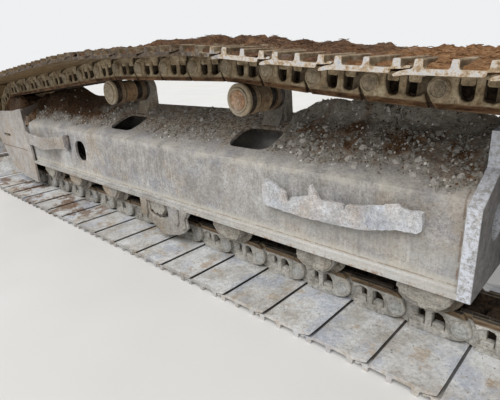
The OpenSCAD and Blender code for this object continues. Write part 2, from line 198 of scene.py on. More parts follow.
def combine(meshes: Iterable[Mesh]) -> Mesh:
    """Returns one mesh that holds all the given ones, which are removed.

    Args:
        meshes: The meshes to join.

    Returns:
        The joined mesh.
    """
    work = bmesh.new()
    for mesh in meshes:
        work.from_mesh(mesh)
        bpy.data.meshes.remove(mesh)
    joined = bpy.data.meshes.new("joined")
    work.to_mesh(joined)
    work.free()
    return joined


def moved(mesh: Mesh, matrix: Matrix) -> Mesh:
    """Returns the mesh with a matrix in metres applied, flipped back if it mirrors.

    Args:
        mesh: The mesh to move in place.
        matrix: Its new place.

    Returns:
        The same mesh.
    """
    mesh.transform(matrix)
    if matrix.determinant() < 0:
        mesh.flip_normals()
    return mesh


def shift(x: float, y: float, z: float) -> Matrix:
    """Returns a translation by millimetres."""
    return Matrix.Translation(Vector((x, y, z)) * MM)


def slab(outlines: Sequence[Sequence[Point2]], y0: float, y1: float, bevel: float = 0.0,
         rounds: int = 0) -> Mesh:
    """Returns a plate cut from outlines of X and Z, with holes where outlines nest.

    Args:
        outlines: Closed outlines in mm; one inside another is a hole.
        y0: Side of the plate with the lower Y.
        y1: Side with the higher Y.
        bevel: Width of the rounding along the plate's edges.
        rounds: Extra faces in that rounding.

    Returns:
        The plate.
    """
    curve = bpy.data.curves.new("outline", "CURVE")
    curve.dimensions = "2D"
    curve.fill_mode = "BOTH"
    curve.extrude = ((y1 - y0) / 2 - bevel) * MM
    curve.bevel_depth = bevel * MM
    curve.bevel_resolution = rounds
    curve.offset = -bevel * MM
    for outline in outlines:
        spline = curve.splines.new("POLY")
        spline.points.add(len(outline) - 1)
        for point, (x, z) in zip(spline.points, outline):
            point.co = (x * MM, z * MM, 0, 1)
        spline.use_cyclic_u = True
    mesh = baked(placed("outline", curve))
    bpy.data.curves.remove(curve)
    middle = (y0 + y1) / 2 * MM
    mesh.transform(Matrix(((1, 0, 0, 0), (0, 0, -1, middle), (0, 1, 0, 0), (0, 0, 0, 1))))
    return tidy_mesh(mesh)


def turned(profile: Sequence[Point2], x: float, z: float, sides: int = 32) -> Mesh:
    """Returns a closed form turned round an axis along Y.

    Args:
        profile: Radius and Y in mm, from one end of the axis to the other.
        x: Place of the axis.
        z: Height of the axis.
        sides: Number of faces round it.

    Returns:
        The closed form.
    """
    points: list[Point3] = []
    faces: list[tuple[int, ...]] = []
    rings: list[list[int]] = []
    for radius, y in profile:
        start = len(points)
        count = 1 if radius < 0.01 else sides
        for k in range(count):
            a = 2 * math.pi * k / sides
            points.append((x + radius * math.cos(a), y, z + radius * math.sin(a)))
        rings.append([start + k % count for k in range(sides)])
    for low, high in zip(rings, rings[1:]):
        for k in range(sides):
            corner = [low[k], low[(k + 1) % sides], high[(k + 1) % sides], high[k]]
            faces.append(tuple(dict.fromkeys(corner)))
    faces = [face for face in faces if len(face) > 2]
    for ring in (rings[0], rings[-1]):
        if ring[0] != ring[1]:
            faces.append(tuple(ring))
    return new_mesh(points, faces)


def circle(x: float, z: float, radius: float, count: int = 24, a0: float = 0.0,
           a1: float = 360.0) -> list[Point2]:
    """Returns points of a circle, or of its arc from a0 to a1 degrees.

    Args:
        x: Place of the middle.
        z: Height of the middle.
        radius: Radius.
        count: Number of points.
        a0: Angle of the first point.
        a1: Angle of the last one.

    Returns:
        The points.
    """
    whole = abs(a1 - a0) >= 360
    steps = count if whole else count - 1
    return [(x + radius * math.cos(math.radians(a0 + (a1 - a0) * k / steps)),
             z + radius * math.sin(math.radians(a0 + (a1 - a0) * k / steps)))
            for k in range(count)]


def sheet_mesh(rows: int, columns: int, at: Callable[[int, int], Point3],
               keep: Callable[[int, int], bool] = lambda r, c: True) -> Mesh:
    """Returns an open grid of quads, whose points come from at(row, column).

    Args:
        rows: Points across the sheet.
        columns: Points along it.
        at: Gives the place of a point.
        keep: Says whether a face stays.

    Returns:
        The open sheet.
    """
    points = [at(r, c) for r in range(rows) for c in range(columns)]
    faces = [(r * columns + c, r * columns + c + 1, (r + 1) * columns + c + 1, (r + 1) * columns + c)
             for r in range(rows - 1) for c in range(columns - 1) if keep(r, c)]
    mesh = bpy.data.meshes.new("sheet")
    mesh.from_pydata([(x * MM, y * MM, z * MM) for x, y, z in points], [], faces)
    work = bmesh.new()
    work.from_mesh(mesh)
    bmesh.ops.delete(work, geom=[v for v in work.verts if not v.link_faces], context="VERTS")
    work.to_mesh(mesh)
    work.free()
    return mesh


def roughened(mesh: Mesh, seed: float, lump: float, top: float,
              longest: float = 24.0) -> Mesh:
    """Returns a mesh cut finer, with its faces pushed in and out like a casting under mud.

    Args:
        mesh: The mesh to change in place.
        seed: Seed of its lumps.
        lump: Height of the lumps in mm.
        top: Height in mm that no point passes.
        longest: Length in mm above which an edge is cut.

    Returns:
        The same mesh.
    """
    work = bmesh.new()
    work.from_mesh(mesh)
    for _ in range(2):
        bmesh.ops.triangulate(work, faces=work.faces)
        long = [e for e in work.edges if e.calc_length() > longest * MM]
        bmesh.ops.subdivide_edges(work, edges=long, cuts=1)
    bmesh.ops.triangulate(work, faces=work.faces)
    work.normal_update()
    for v in work.verts:
        at = v.co * 1000
        v.co += v.normal * MM * lump * grain(at.x + 31 * seed, at.y, at.z, 30, 4)
        v.co.z = min(v.co.z, top * MM)
    work.to_mesh(mesh)
    work.free()
    return mesh


def piece(name: str, mesh: Mesh, finish: Material, slot: Slot,
          replaces: Sequence[str] = (), angle: float = 35.0) -> Thing:
    """Makes a finished piece of a mesh, puts it on the body and reports it.

    Args:
        name: Name of the piece.
        mesh: Its mesh, in place, in metres.
        finish: Its material.
        slot: Slot of the record; not used.
        replaces: CAD nodes that it stands for.
        angle: Edges sharper than this many degrees stay sharp.

    Returns:
        The piece's object.
    """
    mesh.materials.clear()
    mesh.materials.append(finish)
    mesh.shade_smooth()
    mesh.set_sharp_from_angle(angle=math.radians(angle))
    mesh.name = name
    thing = placed(name, mesh)
    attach(thing, "root")
    if replaces:
        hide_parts(*replaces)
    mesh.calc_loop_triangles()
    LOG.info("%s: %d triangles, stands for %s", name, len(mesh.loop_triangles),
             ", ".join(replaces) or "nothing")
    return thing


def store(mesh: Mesh, name: str, value: Callable[[Vector], float]) -> None:
    """Writes a named number on each point of a mesh, from its place in metres."""
    data = mesh.attributes.get(name) or mesh.attributes.new(name, "FLOAT", "POINT")
    data.data.foreach_set("value", [value(v.co) for v in mesh.vertices])


# Finishes


class Painter:
    """Writes the nodes of one material."""

    def __init__(self, name: str) -> None:
        """Starts a material with one shader and object coordinates."""
        self.material = bpy.data.materials.new(name)
        self.material.use_nodes = True
        self.tree = self.material.node_tree
        self.tree.nodes.clear()
        output = self.node("ShaderNodeOutputMaterial")
        self.shader = self.node("ShaderNodeBsdfPrincipled")
        self.tree.links.new(self.shader.outputs[0], output.inputs[0])
        self.place = self.node("ShaderNodeTexCoord").outputs["Object"]
        self.shader.inputs["IOR"].default_value = 1.45

    def node(self, kind: str) -> bpy.types.Node:
        """Returns a new node of a kind."""
        return self.tree.nodes.new(kind)

    def feed(self, socket: Socket, value: object) -> None:
        """Links a socket to another, or sets its number or colour.

        Args:
            socket: The socket to feed.
            value: Another socket, a number or a colour.
        """
        if isinstance(value, Socket):
            self.tree.links.new(value, socket)
        elif isinstance(value, tuple) and len(value) == 3 and socket.type == "RGBA":
            socket.default_value = (*value, 1.0)
        else:
            socket.default_value = value

    def noise(self, scale: float, detail: float = 4.0, rough: float = 0.55,
              stretch: Point3 = (1, 1, 1), offset: float = 0.0,
              twist: float = 0.0) -> Socket:
        """Returns noise from 0 to 1 whose lumps are about 1/scale metres.

        Args:
            scale: Lumps in a metre.
            detail: Finer layers.
            rough: Share of the finer layers.
            stretch: Scale along each axis.
            offset: Place that makes it differ from other noise.
            twist: How far it is bent.

        Returns:
            The noise.
        """
        mapping = self.node("ShaderNodeMapping")
        mapping.inputs["Scale"].default_value = stretch
        mapping.inputs["Location"].default_value = (offset, offset * 0.7, offset * 1.3)
        self.tree.links.new(self.place, mapping.inputs["Vector"])
        texture = self.node("ShaderNodeTexNoise")
        self.tree.links.new(mapping.outputs[0], texture.inputs["Vector"])
        texture.inputs["Scale"].default_value = scale
        texture.inputs["Detail"].default_value = detail
        texture.inputs["Roughness"].default_value = rough
        texture.inputs["Distortion"].default_value = twist
        return texture.outputs["Fac"]

    def cells(self, scale: float, offset: float = 0.0) -> Socket:
        """Returns the distance to the nearest of scattered points, for pits and grit.

        Args:
            scale: Points in a metre.
            offset: Place that makes them differ from others.

        Returns:
            The distance.
        """
        mapping = self.node("ShaderNodeMapping")
        mapping.inputs["Location"].default_value = (offset, offset, offset)
        self.tree.links.new(self.place, mapping.inputs["Vector"])
        texture = self.node("ShaderNodeTexVoronoi")
        self.tree.links.new(mapping.outputs[0], texture.inputs["Vector"])
        texture.inputs["Scale"].default_value = scale
        return texture.outputs["Distance"]

    def ramp(self, value: object, stops: Sequence[tuple[float, Colour]]) -> Socket:
        """Returns a colour from a number, through stops of place and colour.

        Args:
            value: The number.
            stops: Place and colour of each stop.

        Returns:
            The colour.
        """
        node = self.node("ShaderNodeValToRGB")
        band = node.color_ramp
        while len(band.elements) < len(stops):
            band.elements.new(0.5)
        for element, (place, colour) in zip(band.elements, stops):
            element.position = place
            element.color = (*colour, 1.0)
        self.feed(node.inputs[0], value)
        return node.outputs[0]

    def span(self, value: object, low: float, high: float, to_low: float = 0.0,
             to_high: float = 1.0) -> Socket:
        """Returns a number mapped smoothly from one span to another and held inside it.

        Args:
            value: The number.
            low: Start of its span.
            high: End of its span.
            to_low: Result at the start.
            to_high: Result at the end.

        Returns:
            The mapped number.
        """
        node = self.node("ShaderNodeMapRange")
        node.interpolation_type = "SMOOTHSTEP"
        self.feed(node.inputs["Value"], value)
        for key, number in (("From Min", low), ("From Max", high), ("To Min", to_low),
                            ("To Max", to_high)):
            node.inputs[key].default_value = number
        return node.outputs[0]

    def calc(self, action: str, a: object, b: object) -> Socket:
        """Returns the result of a sum, product or other step on two numbers.

        Args:
            action: Name of the step.
            a: First number.
            b: Second number.

        Returns:
            The result.
        """
        node = self.node("ShaderNodeMath")
        node.operation = action
        self.feed(node.inputs[0], a)
        self.feed(node.inputs[1], b)
        return node.outputs[0]

    def times(self, a: object, b: object) -> Socket:
        """Returns the product of two numbers."""
        return self.calc("MULTIPLY", a, b)

    def plus(self, a: object, b: object) -> Socket:
        """Returns the sum of two numbers."""
        return self.calc("ADD", a, b)

    def absolute(self, value: object) -> Socket:
        """Returns a number without its sign."""
        return self.calc("ABSOLUTE", value, 0.0)

    def tones(self, value: object, dark: Colour, middle: Colour, light: Colour,
              spread: float = 0.14) -> Socket:
        """Returns a colour for a number: dark a spread below one half, light as far above it."""
        return self.ramp(value, [(0.5 - spread, dark), (0.5, middle), (0.5 + spread, light)])

    def grained(self, share: object, colour: object, value: object,
                swing: float = 0.3) -> Socket:
        """Returns a colour made darker and lighter by noise, by a share and a swing of greys."""
        low, high = 0.5 - swing, 0.5 + swing
        return self.mix(share, colour, self.tones(value, (low,) * 3, (0.5,) * 3, (high,) * 3),
                        "OVERLAY")

    def mix(self, share: object, a: object, b: object, blend: str = "MIX") -> Socket:
        """Returns two colours mixed by a share.

        Args:
            share: Share of the second colour.
            a: First colour.
            b: Second colour.
            blend: How they mix.

        Returns:
            The mixed colour.
        """
        node = self.node("ShaderNodeMix")
        node.data_type = "RGBA"
        node.blend_type = blend
        self.feed(node.inputs[0], share)
        self.feed(node.inputs[6], a)
        self.feed(node.inputs[7], b)
        return node.outputs[2]

    def axis(self, name: str) -> Socket:
        """Returns the X, Y or Z of the object coordinates."""
        node = self.node("ShaderNodeSeparateXYZ")
        self.tree.links.new(self.place, node.inputs[0])
        return node.outputs[name]

    def stored(self, name: str) -> Socket:
        """Returns a number that the mesh holds on its points."""
        node = self.node("ShaderNodeAttribute")
        node.attribute_name = name
        return node.outputs["Fac"]

    def edges(self, radius: float) -> Socket:
        """Returns 1 within about a radius in metres of an edge, and 0 on open faces.

        Args:
            radius: The radius.

        Returns:
            The nearness of an edge.
        """
        bevel = self.node("ShaderNodeBevel")
        bevel.samples = 4
        bevel.inputs["Radius"].default_value = radius
        dot = self.node("ShaderNodeVectorMath")
        dot.operation = "DOT_PRODUCT"
        self.tree.links.new(bevel.outputs[0], dot.inputs[0])
        normal = self.node("ShaderNodeNewGeometry").outputs["True Normal"]
        self.tree.links.new(normal, dot.inputs[1])
        return self.span(dot.outputs["Value"], 0.99, 0.85)

    def relief(self, height: object, depth: float) -> None:
        """Gives the surface a relief of about the given depth in metres."""
        bump = self.node("ShaderNodeBump")
        bump.inputs["Strength"].default_value = 0.8
        bump.inputs["Distance"].default_value = depth
        self.feed(bump.inputs["Height"], height)
        self.tree.links.new(bump.outputs[0], self.shader.inputs["Normal"])

    def finish(self, colour: Socket, rough: object,
               metallic: float = 0.0) -> Material:
        """Sets the shader's colour, roughness and metal and returns the material.

        Args:
            colour: Base colour.
            rough: Roughness.
            metallic: Share of bare metal.

        Returns:
            The material.
        """
        self.feed(self.shader.inputs["Base Color"], colour)
        self.feed(self.shader.inputs["Roughness"], rough)
        self.shader.inputs["Metallic"].default_value = metallic
        self.shader.inputs["Specular IOR Level"].default_value = 0.25
        return self.material


@dataclass(frozen=True)
class CakedMud:
    """Dry mud on plate: patches, faint upright scuffs, a fine crust, specks and small pits."""

    name: str
    dark: Colour
    middle: Colour
    light: Colour
    tint: Colour = rgb(166, 142, 112)
    tint_share: float = 0.5
    cool: Colour = rgb(142, 144, 152)
    cool_share: float = 0.3
    speck: Colour = rgb(98, 78, 58)
    scuffs: float = 0.16
    crust: float = 0.55
    pits: float = 0.5
    edge: Colour = rgb(202, 202, 202)
    edge_wear_and_highlight_share: float = 0.6
    offset: float = 0.0

    def paint(self) -> tuple[Painter, Socket]:
        """Returns the painter and the colour so far, for finishes that go on from it."""
        p = Painter(self.name)
        patches = p.noise(2.9, 6, 0.66, offset=self.offset)
        cloud = p.noise(15.0, 6, 0.7, offset=self.offset + 3)
        tone = p.plus(p.times(patches, 0.5), p.times(cloud, 0.5))
        colour = p.tones(tone, self.dark, self.middle, self.light, 0.12)
        warm = p.span(p.noise(3.6, 7, 0.68, offset=self.offset + 11), 0.48, 0.66, 0, self.tint_share)
        colour = p.mix(warm, colour, self.tint)
        cool = p.span(p.noise(5.0, 7, 0.68, offset=self.offset + 31), 0.5, 0.66, 0, self.cool_share)
        colour = p.mix(cool, colour, self.cool)
        scuff = p.noise(13.0, 5, 0.7, stretch=(9, 9, 0.6), offset=self.offset + 5)
        worn = p.span(p.noise(2.3, 3, offset=self.offset + 17), 0.42, 0.6, 0.15, 1.0)
        colour = p.grained(p.times(worn, self.scuffs), colour, scuff)
        crust = p.noise(105.0, 7, 0.85, offset=self.offset + 41)
        colour = p.grained(self.crust, colour, crust)
        fine = p.noise(160.0, 3, 0.7, offset=self.offset)
        colour = p.mix(p.span(fine, 0.57, 0.68, 0, 0.6), colour, self.speck)
        pit = p.span(p.cells(95.0, self.offset), 0.2, 0.08, 0, self.pits)
        pit = p.times(pit, p.span(p.noise(17.0, offset=7.0), 0.46, 0.58))
        colour = p.mix(pit, colour, rgb(74, 58, 44))
        # Paler edges: rubbed wear and a painted highlight.
        colour = p.mix(p.times(p.edges(0.005), self.edge_wear_and_highlight_share), colour, self.edge)
        height = p.plus(p.times(cloud, 1.2), p.times(crust, 0.8))
        height = p.calc("SUBTRACT", height, p.times(pit, 0.8))
        p.relief(height, 0.003)
        return p, colour

    def build(self) -> Material:
        """Returns the material."""
        p, colour = self.paint()
        return p.finish(colour, 0.88)


@dataclass(frozen=True)
class FramePlate(CakedMud):
    """The box's plates: browner and darker up the slope, partly mud and partly painted shade, a painted
    highlight along the bend, pale at the foot, and a fine crack.
    """

    bend_z: float = 559.0
    ridge_z: float = 708.0
    crack_x: float = -1469.0
    crack_z: float = 280.5

    def build(self) -> Material:
        """Returns the material."""
        p, colour = self.paint()
        z = p.axis("Z")
        up = p.span(z, (self.bend_z + 6) * MM, (self.ridge_z - 60) * MM)
        wander = p.noise(9.0, 6, 0.7, offset=21)
        # Painted shade, partly brown mud: the plate turns browner and darker up the slope towards the
        # ridge.
        shade_and_mud_up_slope = p.times(up, p.span(wander, 0.32, 0.6, 0.5, 1.0))
        colour = p.mix(shade_and_mud_up_slope, colour, p.tones(
            p.noise(48.0, 7, 0.8), rgb(104, 92, 76), rgb(160, 148, 131), rgb(194, 185, 171)))
        crumbs = p.span(p.noise(64.0, 7, 0.8, offset=13), 0.5, 0.55, 0, 0.8)
        colour = p.mix(p.times(crumbs, up), colour, rgb(80, 56, 38))
        # Painted highlight: a pale band along the bend between the side and the slope.
        line = p.times(p.span(z, (self.bend_z - 40) * MM, self.bend_z * MM),
                       p.span(z, (self.bend_z + 34) * MM, self.bend_z * MM))
        line = p.times(line, p.span(p.noise(7.0, 6, 0.7, offset=51), 0.4, 0.6))
        colour = p.mix(p.times(line, 0.6), colour, rgb(206, 199, 186))
        under = p.times(p.span(z, 300 * MM, 350 * MM), p.span(z, 430 * MM, 380 * MM))
        pale = p.times(under, p.span(p.axis("X"), -0.4, -0.9, 0.0, 0.35))
        colour = p.mix(pale, colour, rgb(170, 168, 162))
        torn = p.noise(30.0, 6, 0.75, offset=61)
        low = p.calc("SUBTRACT", z, p.plus(self.crack_z * MM, p.times(torn, 0.008)))
        low = p.span(p.absolute(low), 0.0035, 0.001)
        back = p.plus(p.axis("X"), p.calc("SUBTRACT", -self.crack_x * MM, p.times(torn, 0.006)))
        back = p.span(p.absolute(back), 0.004, 0.0015)
        crack = p.times(p.calc("MAXIMUM", low, back), p.span(torn, 0.42, 0.5))
        foot = p.span(z, 318 * MM, 286 * MM, 0, 0.6)
        colour = p.mix(foot, colour, rgb(204, 199, 187))
        colour = p.mix(p.times(crack, 0.55), colour, rgb(120, 90, 64))
        return p.finish(colour, 0.9)


@dataclass(frozen=True)
class RailStrip(CakedMud):
    """The bottom rails: pale, with a rough edge speckled with rust."""

    def build(self) -> Material:
        """Returns the material."""
        p, colour = self.paint()
        rust = p.span(p.noise(46.0, 6, 0.75, offset=2), 0.5, 0.62, 0, 0.75)
        low = p.span(p.axis("Z"), 268 * MM, 256 * MM)
        colour = p.mix(p.span(p.axis("X"), 0.2, -1.2, 0, 0.5), colour, rgb(208, 206, 201))
        colour = p.mix(p.times(rust, low), colour, rgb(138, 100, 66))
        return p.finish(colour, 0.9)


@dataclass(frozen=True)
class GuardPlate(CakedMud):
    """Guards and step: a rusty seam across the front guard and painted shade behind its flange."""

    seam_z: float = 340.0
    flange_x: float = 1680.0

    def build(self) -> Material:
        """Returns the material."""
        p, colour = self.paint()
        z, x = p.axis("Z"), p.axis("X")
        wave = p.times(p.noise(6.0, 3, offset=3), 0.008)
        off = p.absolute(p.calc("SUBTRACT", z, p.plus(self.seam_z * MM, wave)))
        seam = p.times(p.span(off, 0.006, 0.002, 0, 0.7), p.span(x, 1.7, 1.71))
        colour = p.mix(seam, colour, rgb(112, 86, 66))
        # Painted shade: a darker grey-brown behind the front guard's flange, high up.
        shade = p.times(p.span(z, 0.54, 0.6), p.span(x, self.flange_x * MM, (self.flange_x - 8) * MM))
        colour = p.mix(p.times(shade, 0.95), colour, rgb(86, 78, 72))
        worn = p.times(p.span(x, 1.075, 1.035), p.span(x, 0.94, 0.97))
        worn = p.times(worn, p.span(p.axis("Y"), 0.174, 0.178))
        worn = p.times(worn, p.span(p.noise(40.0, 6, 0.75, offset=71), 0.42, 0.5))
        colour = p.mix(p.times(worn, 0.7), colour, rgb(92, 88, 92))
        return p.finish(colour, 0.88)


@dataclass(frozen=True)
class EndPlate(CakedMud):
    """The rear end plate: its edge hammered bare and speckled, its rear face painted a darker grey as
    shade.
    """

    bare_x: float = -1515.0

    def build(self) -> Material:
        """Returns the material."""
        p, colour = self.paint()
        chip = p.span(p.noise(70.0, 7, 0.8, offset=8), 0.44, 0.56, 0, 0.85)
        colour = p.mix(chip, colour, rgb(214, 217, 226))
        rust = p.span(p.noise(170.0, 7, 0.85, offset=2), 0.6, 0.63, 0, 0.7)
        colour = p.mix(rust, colour, rgb(140, 104, 72))
        # Painted shade: the rear face behind the edge is made a darker grey.
        rear = p.span(p.axis("X"), self.bare_x * MM, (self.bare_x - 3) * MM, 0, 0.75)
        colour = p.mix(rear, colour, p.tones(
            p.noise(20.0, 6, 0.7), rgb(88, 86, 82), rgb(118, 115, 110), rgb(140, 138, 133)))
        return p.finish(colour, 0.85)


@dataclass(frozen=True)
class LinkSteel:
    """Links: tan mud above, made darker partly as painted shade, grey mud on the lower run and a rusty
    rail, with painted shadow on the rails' faces, painted shade in recesses and between the rows, and
    paler edges, partly a painted highlight.
    """

    name: str = "link_steel"
    low_z: float = 250.0
    high_z: float = 420.0

    def build(self) -> Material:
        """Returns the material."""
        p = Painter(self.name)
        cloud = p.noise(22.0, 6, 0.65)
        tan = p.tones(cloud, rgb(97, 83, 64), rgb(147, 130, 104), rgb(184, 169, 143), 0.16)
        grey = p.tones(cloud, rgb(124, 121, 114), rgb(157, 154, 147), rgb(178, 175, 168), 0.16)
        # Partly painted shade: the upper run's tan is darker than the lower run's grey, as shade as well
        # as browner mud.
        high = p.span(p.axis("Z"), self.low_z * MM, self.high_z * MM)
        colour = p.mix(high, grey, tan)
        tone = p.plus(p.span(p.stored("tone"), 0.0, 1.0, 0.4, 0.6),
                      p.span(p.axis("X"), 0.2, -1.5, -0.08, 0.09))
        colour = p.mix(0.5, colour, p.ramp(tone, [(0.0, (0, 0, 0)), (1.0, (1, 1, 1))]), "OVERLAY")
        stain = p.span(p.noise(30.0, 6, 0.7, offset=5), 0.54, 0.66, 0, 0.6)
        colour = p.mix(p.times(stain, high), colour, rgb(116, 84, 48))
        fine = p.noise(110.0, 7, 0.82)
        colour = p.grained(0.6, colour, fine)
        colour = p.mix(p.span(fine, 0.42, 0.36, 0, 0.6), colour, rgb(84, 60, 40))
        rise = p.plus(p.stored("rise"), p.times(cloud, -0.012))
        side = p.span(rise, -0.044, -0.050)
        streaks = p.noise(60.0, 5, 0.7, stretch=(0.25, 1, 1))
        rust = p.ramp(streaks, [(0.36, rgb(48, 31, 19)), (0.5, rgb(90, 64, 43)),
                                (0.66, rgb(134, 102, 72))])
        brown = p.ramp(streaks, [(0.36, rgb(70, 58, 46)), (0.52, rgb(104, 86, 66)),
                                 (0.68, rgb(132, 114, 92))])
        colour = p.mix(side, colour, p.mix(high, brown, rust))
        # Painted shadow, on polished steel: the rails' rolling faces go near black, most of all on the
        # lower run.
        face = p.span(p.stored("rise"), -0.0572, -0.0578)
        polish_and_painted_shadow = p.ramp(cloud, [(0.36, rgb(42, 38, 36)), (0.64, rgb(84, 76, 68))])
        colour = p.mix(p.times(face, p.span(high, 0, 1, 1.0, 0.35)), colour, polish_and_painted_shadow)
        # Paler edges: rubbed wear and a painted highlight.
        colour = p.mix(p.times(p.edges(0.003), 0.5), colour, rgb(184, 166, 136))
        pin = p.span(p.absolute(p.axis("Y")), 0.11, 0.1125, 0, 0.5)
        colour = p.mix(pin, colour, p.mix(
            high, p.tones(fine, rgb(116, 116, 114), rgb(158, 160, 160), rgb(184, 186, 188), 0.12),
            p.tones(fine, rgb(98, 88, 74), rgb(146, 136, 120), rgb(180, 172, 156), 0.12)))
        # Painted shade: the recessed web and window sides of the upper run's links are darkened.
        depth = p.span(p.absolute(p.axis("Y")), 0.0985, 0.093, 0, 0.7)
        colour = p.mix(p.times(depth, high), colour, rgb(58, 50, 42))
        # Painted shade: the mud, bushing and inner faces between the two rows are painted near black.
        inside = p.span(p.absolute(p.axis("Y")), 0.0655, 0.0645)
        packed = p.ramp(p.noise(60.0, 5, 0.7),
                        [(0.36, rgb(22, 17, 13)), (0.5, rgb(44, 34, 25)), (0.66, rgb(78, 62, 46))])
        colour = p.mix(inside, colour, packed)
        height = p.plus(cloud, p.times(fine, 0.4))
        p.relief(height, 0.0016)
        return p.finish(colour, 0.85)


@dataclass(frozen=True)
class ShoeSteel:
    """Shoes: pale mud below, tan above, ends bare at the rear and earthy ahead, dark grooves."""

    name: str = "shoe_steel_worn"
    half_width: float = 365.0

    def build(self) -> Material:
        """Returns the material."""
        p = Painter(self.name)
        cloud = p.noise(7.0, 7, 0.7)
        colour = p.tones(cloud, rgb(170, 165, 157), rgb(197, 196, 193), rgb(216, 217, 217))
        blue = p.span(p.noise(4.1, 7, 0.68, offset=9), 0.5, 0.62, 0, 0.65)
        colour = p.mix(blue, colour, rgb(166, 172, 184))
        tone = p.span(p.stored("tone"), 0.0, 1.0, 0.46, 0.55)
        colour = p.mix(0.6, colour, p.ramp(tone, [(0.0, (0, 0, 0)), (1.0, (1, 1, 1))]), "OVERLAY")
        stain = p.span(p.noise(9.0, 7, 0.75, offset=4), 0.53, 0.66, 0, 0.75)
        colour = p.mix(stain, colour, rgb(172, 150, 122))
        crust = p.noise(60.0, 7, 0.85, offset=12)
        colour = p.grained(0.5, colour, crust, 0.28)
        fine = p.noise(150.0, 3, 0.7)
        colour = p.mix(p.span(fine, 0.6, 0.68, 0, 0.8), colour, rgb(96, 76, 58))
        speck = p.times(p.span(p.cells(42.0), 0.14, 0.06), p.span(p.noise(6.0, offset=5.0), 0.44, 0.56))
        colour = p.mix(speck, colour, rgb(92, 72, 52))
        soiled = p.times(p.span(p.axis("X"), 0.3, 0.9, 0.0, 0.85),
                         p.span(p.noise(5.0, 6, 0.75, offset=27), 0.5, 0.56))
        colour = p.mix(soiled, colour, p.tones(
            crust, rgb(70, 48, 34), rgb(116, 88, 66), rgb(158, 132, 106)))
        uneven = p.times(p.calc("SUBTRACT", p.noise(4.0, 6, 0.75, offset=44), 0.5), 0.9)
        high = p.span(p.plus(p.axis("Z"), uneven), 0.3, 0.5)
        tan = p.ramp(p.noise(24.0, 5, 0.65),
                     [(0.36, rgb(84, 68, 50)), (0.5, rgb(124, 106, 82)), (0.66, rgb(160, 146, 124))])
        colour = p.mix(high, colour, tan)
        reach = p.absolute(p.axis("Y"))
        end = p.span(reach, (self.half_width - 3) * MM, (self.half_width - 1) * MM)
        bare = p.ramp(p.noise(40.0, 7, 0.82, offset=6), [
            (0.34, rgb(108, 84, 58)), (0.44, rgb(168, 144, 114)), (0.53, rgb(204, 199, 192)),
            (0.64, rgb(160, 166, 179))])
        rear = p.span(p.plus(p.axis("X"), p.times(uneven, 1.2)), -0.7, -0.5, 1.0, 0.08)
        earthy = p.tones(p.noise(34.0, 7, 0.78, offset=6),
                         rgb(30, 21, 14), rgb(62, 47, 33), rgb(112, 98, 80))
        bare = p.mix(rear, earthy, bare)
        golden = p.times(high, p.span(p.axis("X"), 0.2, 1.0, 0.0, 0.7))
        colour = p.mix(golden, colour, p.tones(
            crust, rgb(82, 62, 38), rgb(122, 98, 63), rgb(158, 134, 97)))
        colour = p.mix(p.times(end, p.span(high, 0, 1, 0.4, 1.0)), colour, bare)
        # Painted highlight, partly rubbed wear: paler edges on the upper run, mostly towards the rear.
        rim = p.times(p.times(p.edges(0.004), high), 0.5)
        colour = p.mix(p.times(rim, rear), colour, rgb(206, 180, 146))
        clear = p.span(reach, (self.half_width - 3) * MM, (self.half_width - 8) * MM)
        groove = p.times(p.times(p.stored("groove"), 0.8), clear)
        colour = p.mix(groove, colour, rgb(46, 38, 32))
        p.relief(p.plus(cloud, p.times(crust, 0.8)), 0.0022)
        return p.finish(colour, 0.72)


@dataclass(frozen=True)
class Earth:
    """Loose earth: brown and fibrous, or grey and gritty, from the stored share "grey"."""

    name: str
    brown: tuple[Colour, Colour, Colour]
    grey: tuple[Colour, Colour, Colour]
    grain_scale: float = 90.0
    dark_x: float = 0.0
    tan_x: float = 0.0

    def build(self) -> Material:
        """Returns the material."""
        p = Painter(self.name)
        big = p.noise(16.0, 6, 0.7)
        fine = p.noise(self.grain_scale, 7, 0.85, stretch=(0.4, 1, 1), twist=0.8)
        tone = p.plus(p.times(big, 0.4), p.times(fine, 0.6))
        stops = (0.38, 0.5, 0.62)
        colour = p.mix(p.stored("grey"), p.ramp(tone, list(zip(stops, self.brown))),
                       p.ramp(tone, list(zip(stops, self.grey))))
        grit = p.span(p.cells(150.0), 0.22, 0.1, 0, 0.5)
        colour = p.mix(grit, colour, rgb(150, 140, 124))
        if self.tan_x:
            behind = p.plus(p.axis("X"), p.times(big, 0.8))
            behind = p.span(behind, self.tan_x + 0.45, self.tan_x + 0.25, 0, 0.65)
            colour = p.mix(behind, colour, p.tones(
                fine, rgb(74, 46, 25), rgb(144, 101, 62), rgb(196, 156, 114), 0.12))
        if self.dark_x:
            ahead = p.plus(p.axis("X"), p.times(big, 0.8))
            ahead = p.span(ahead, self.dark_x + 0.35, self.dark_x + 0.55, 0, 0.85)
            ahead = p.times(ahead, p.span(p.axis("Z"), 0.6, 0.66))
            colour = p.mix(ahead, colour, p.tones(
                fine, rgb(28, 19, 13), rgb(60, 42, 29), rgb(112, 84, 60), 0.12))
        p.relief(p.plus(fine, big), 0.006)
        return p.finish(colour, 0.95)


@dataclass(frozen=True)
class Stones:
    """Gravel and clods, from dark brown to pale grey by each one's stored tone."""

    name: str
    tones: tuple[tuple[float, Colour], ...] = (
        (0.0, rgb(46, 33, 24)), (0.36, rgb(104, 76, 54)), (0.46, rgb(112, 103, 92)),
        (0.8, rgb(136, 131, 122)), (0.94, rgb(150, 145, 137)), (1.0, rgb(178, 172, 164)))

    def build(self) -> Material:
        """Returns the material."""
        p = Painter(self.name)
        colour = p.ramp(p.stored("tone"), list(self.tones))
        fine = p.noise(140.0, 6, 0.8)
        colour = p.grained(0.7, colour, fine, 0.28)
        p.relief(fine, 0.002)
        return p.finish(colour, 0.92)


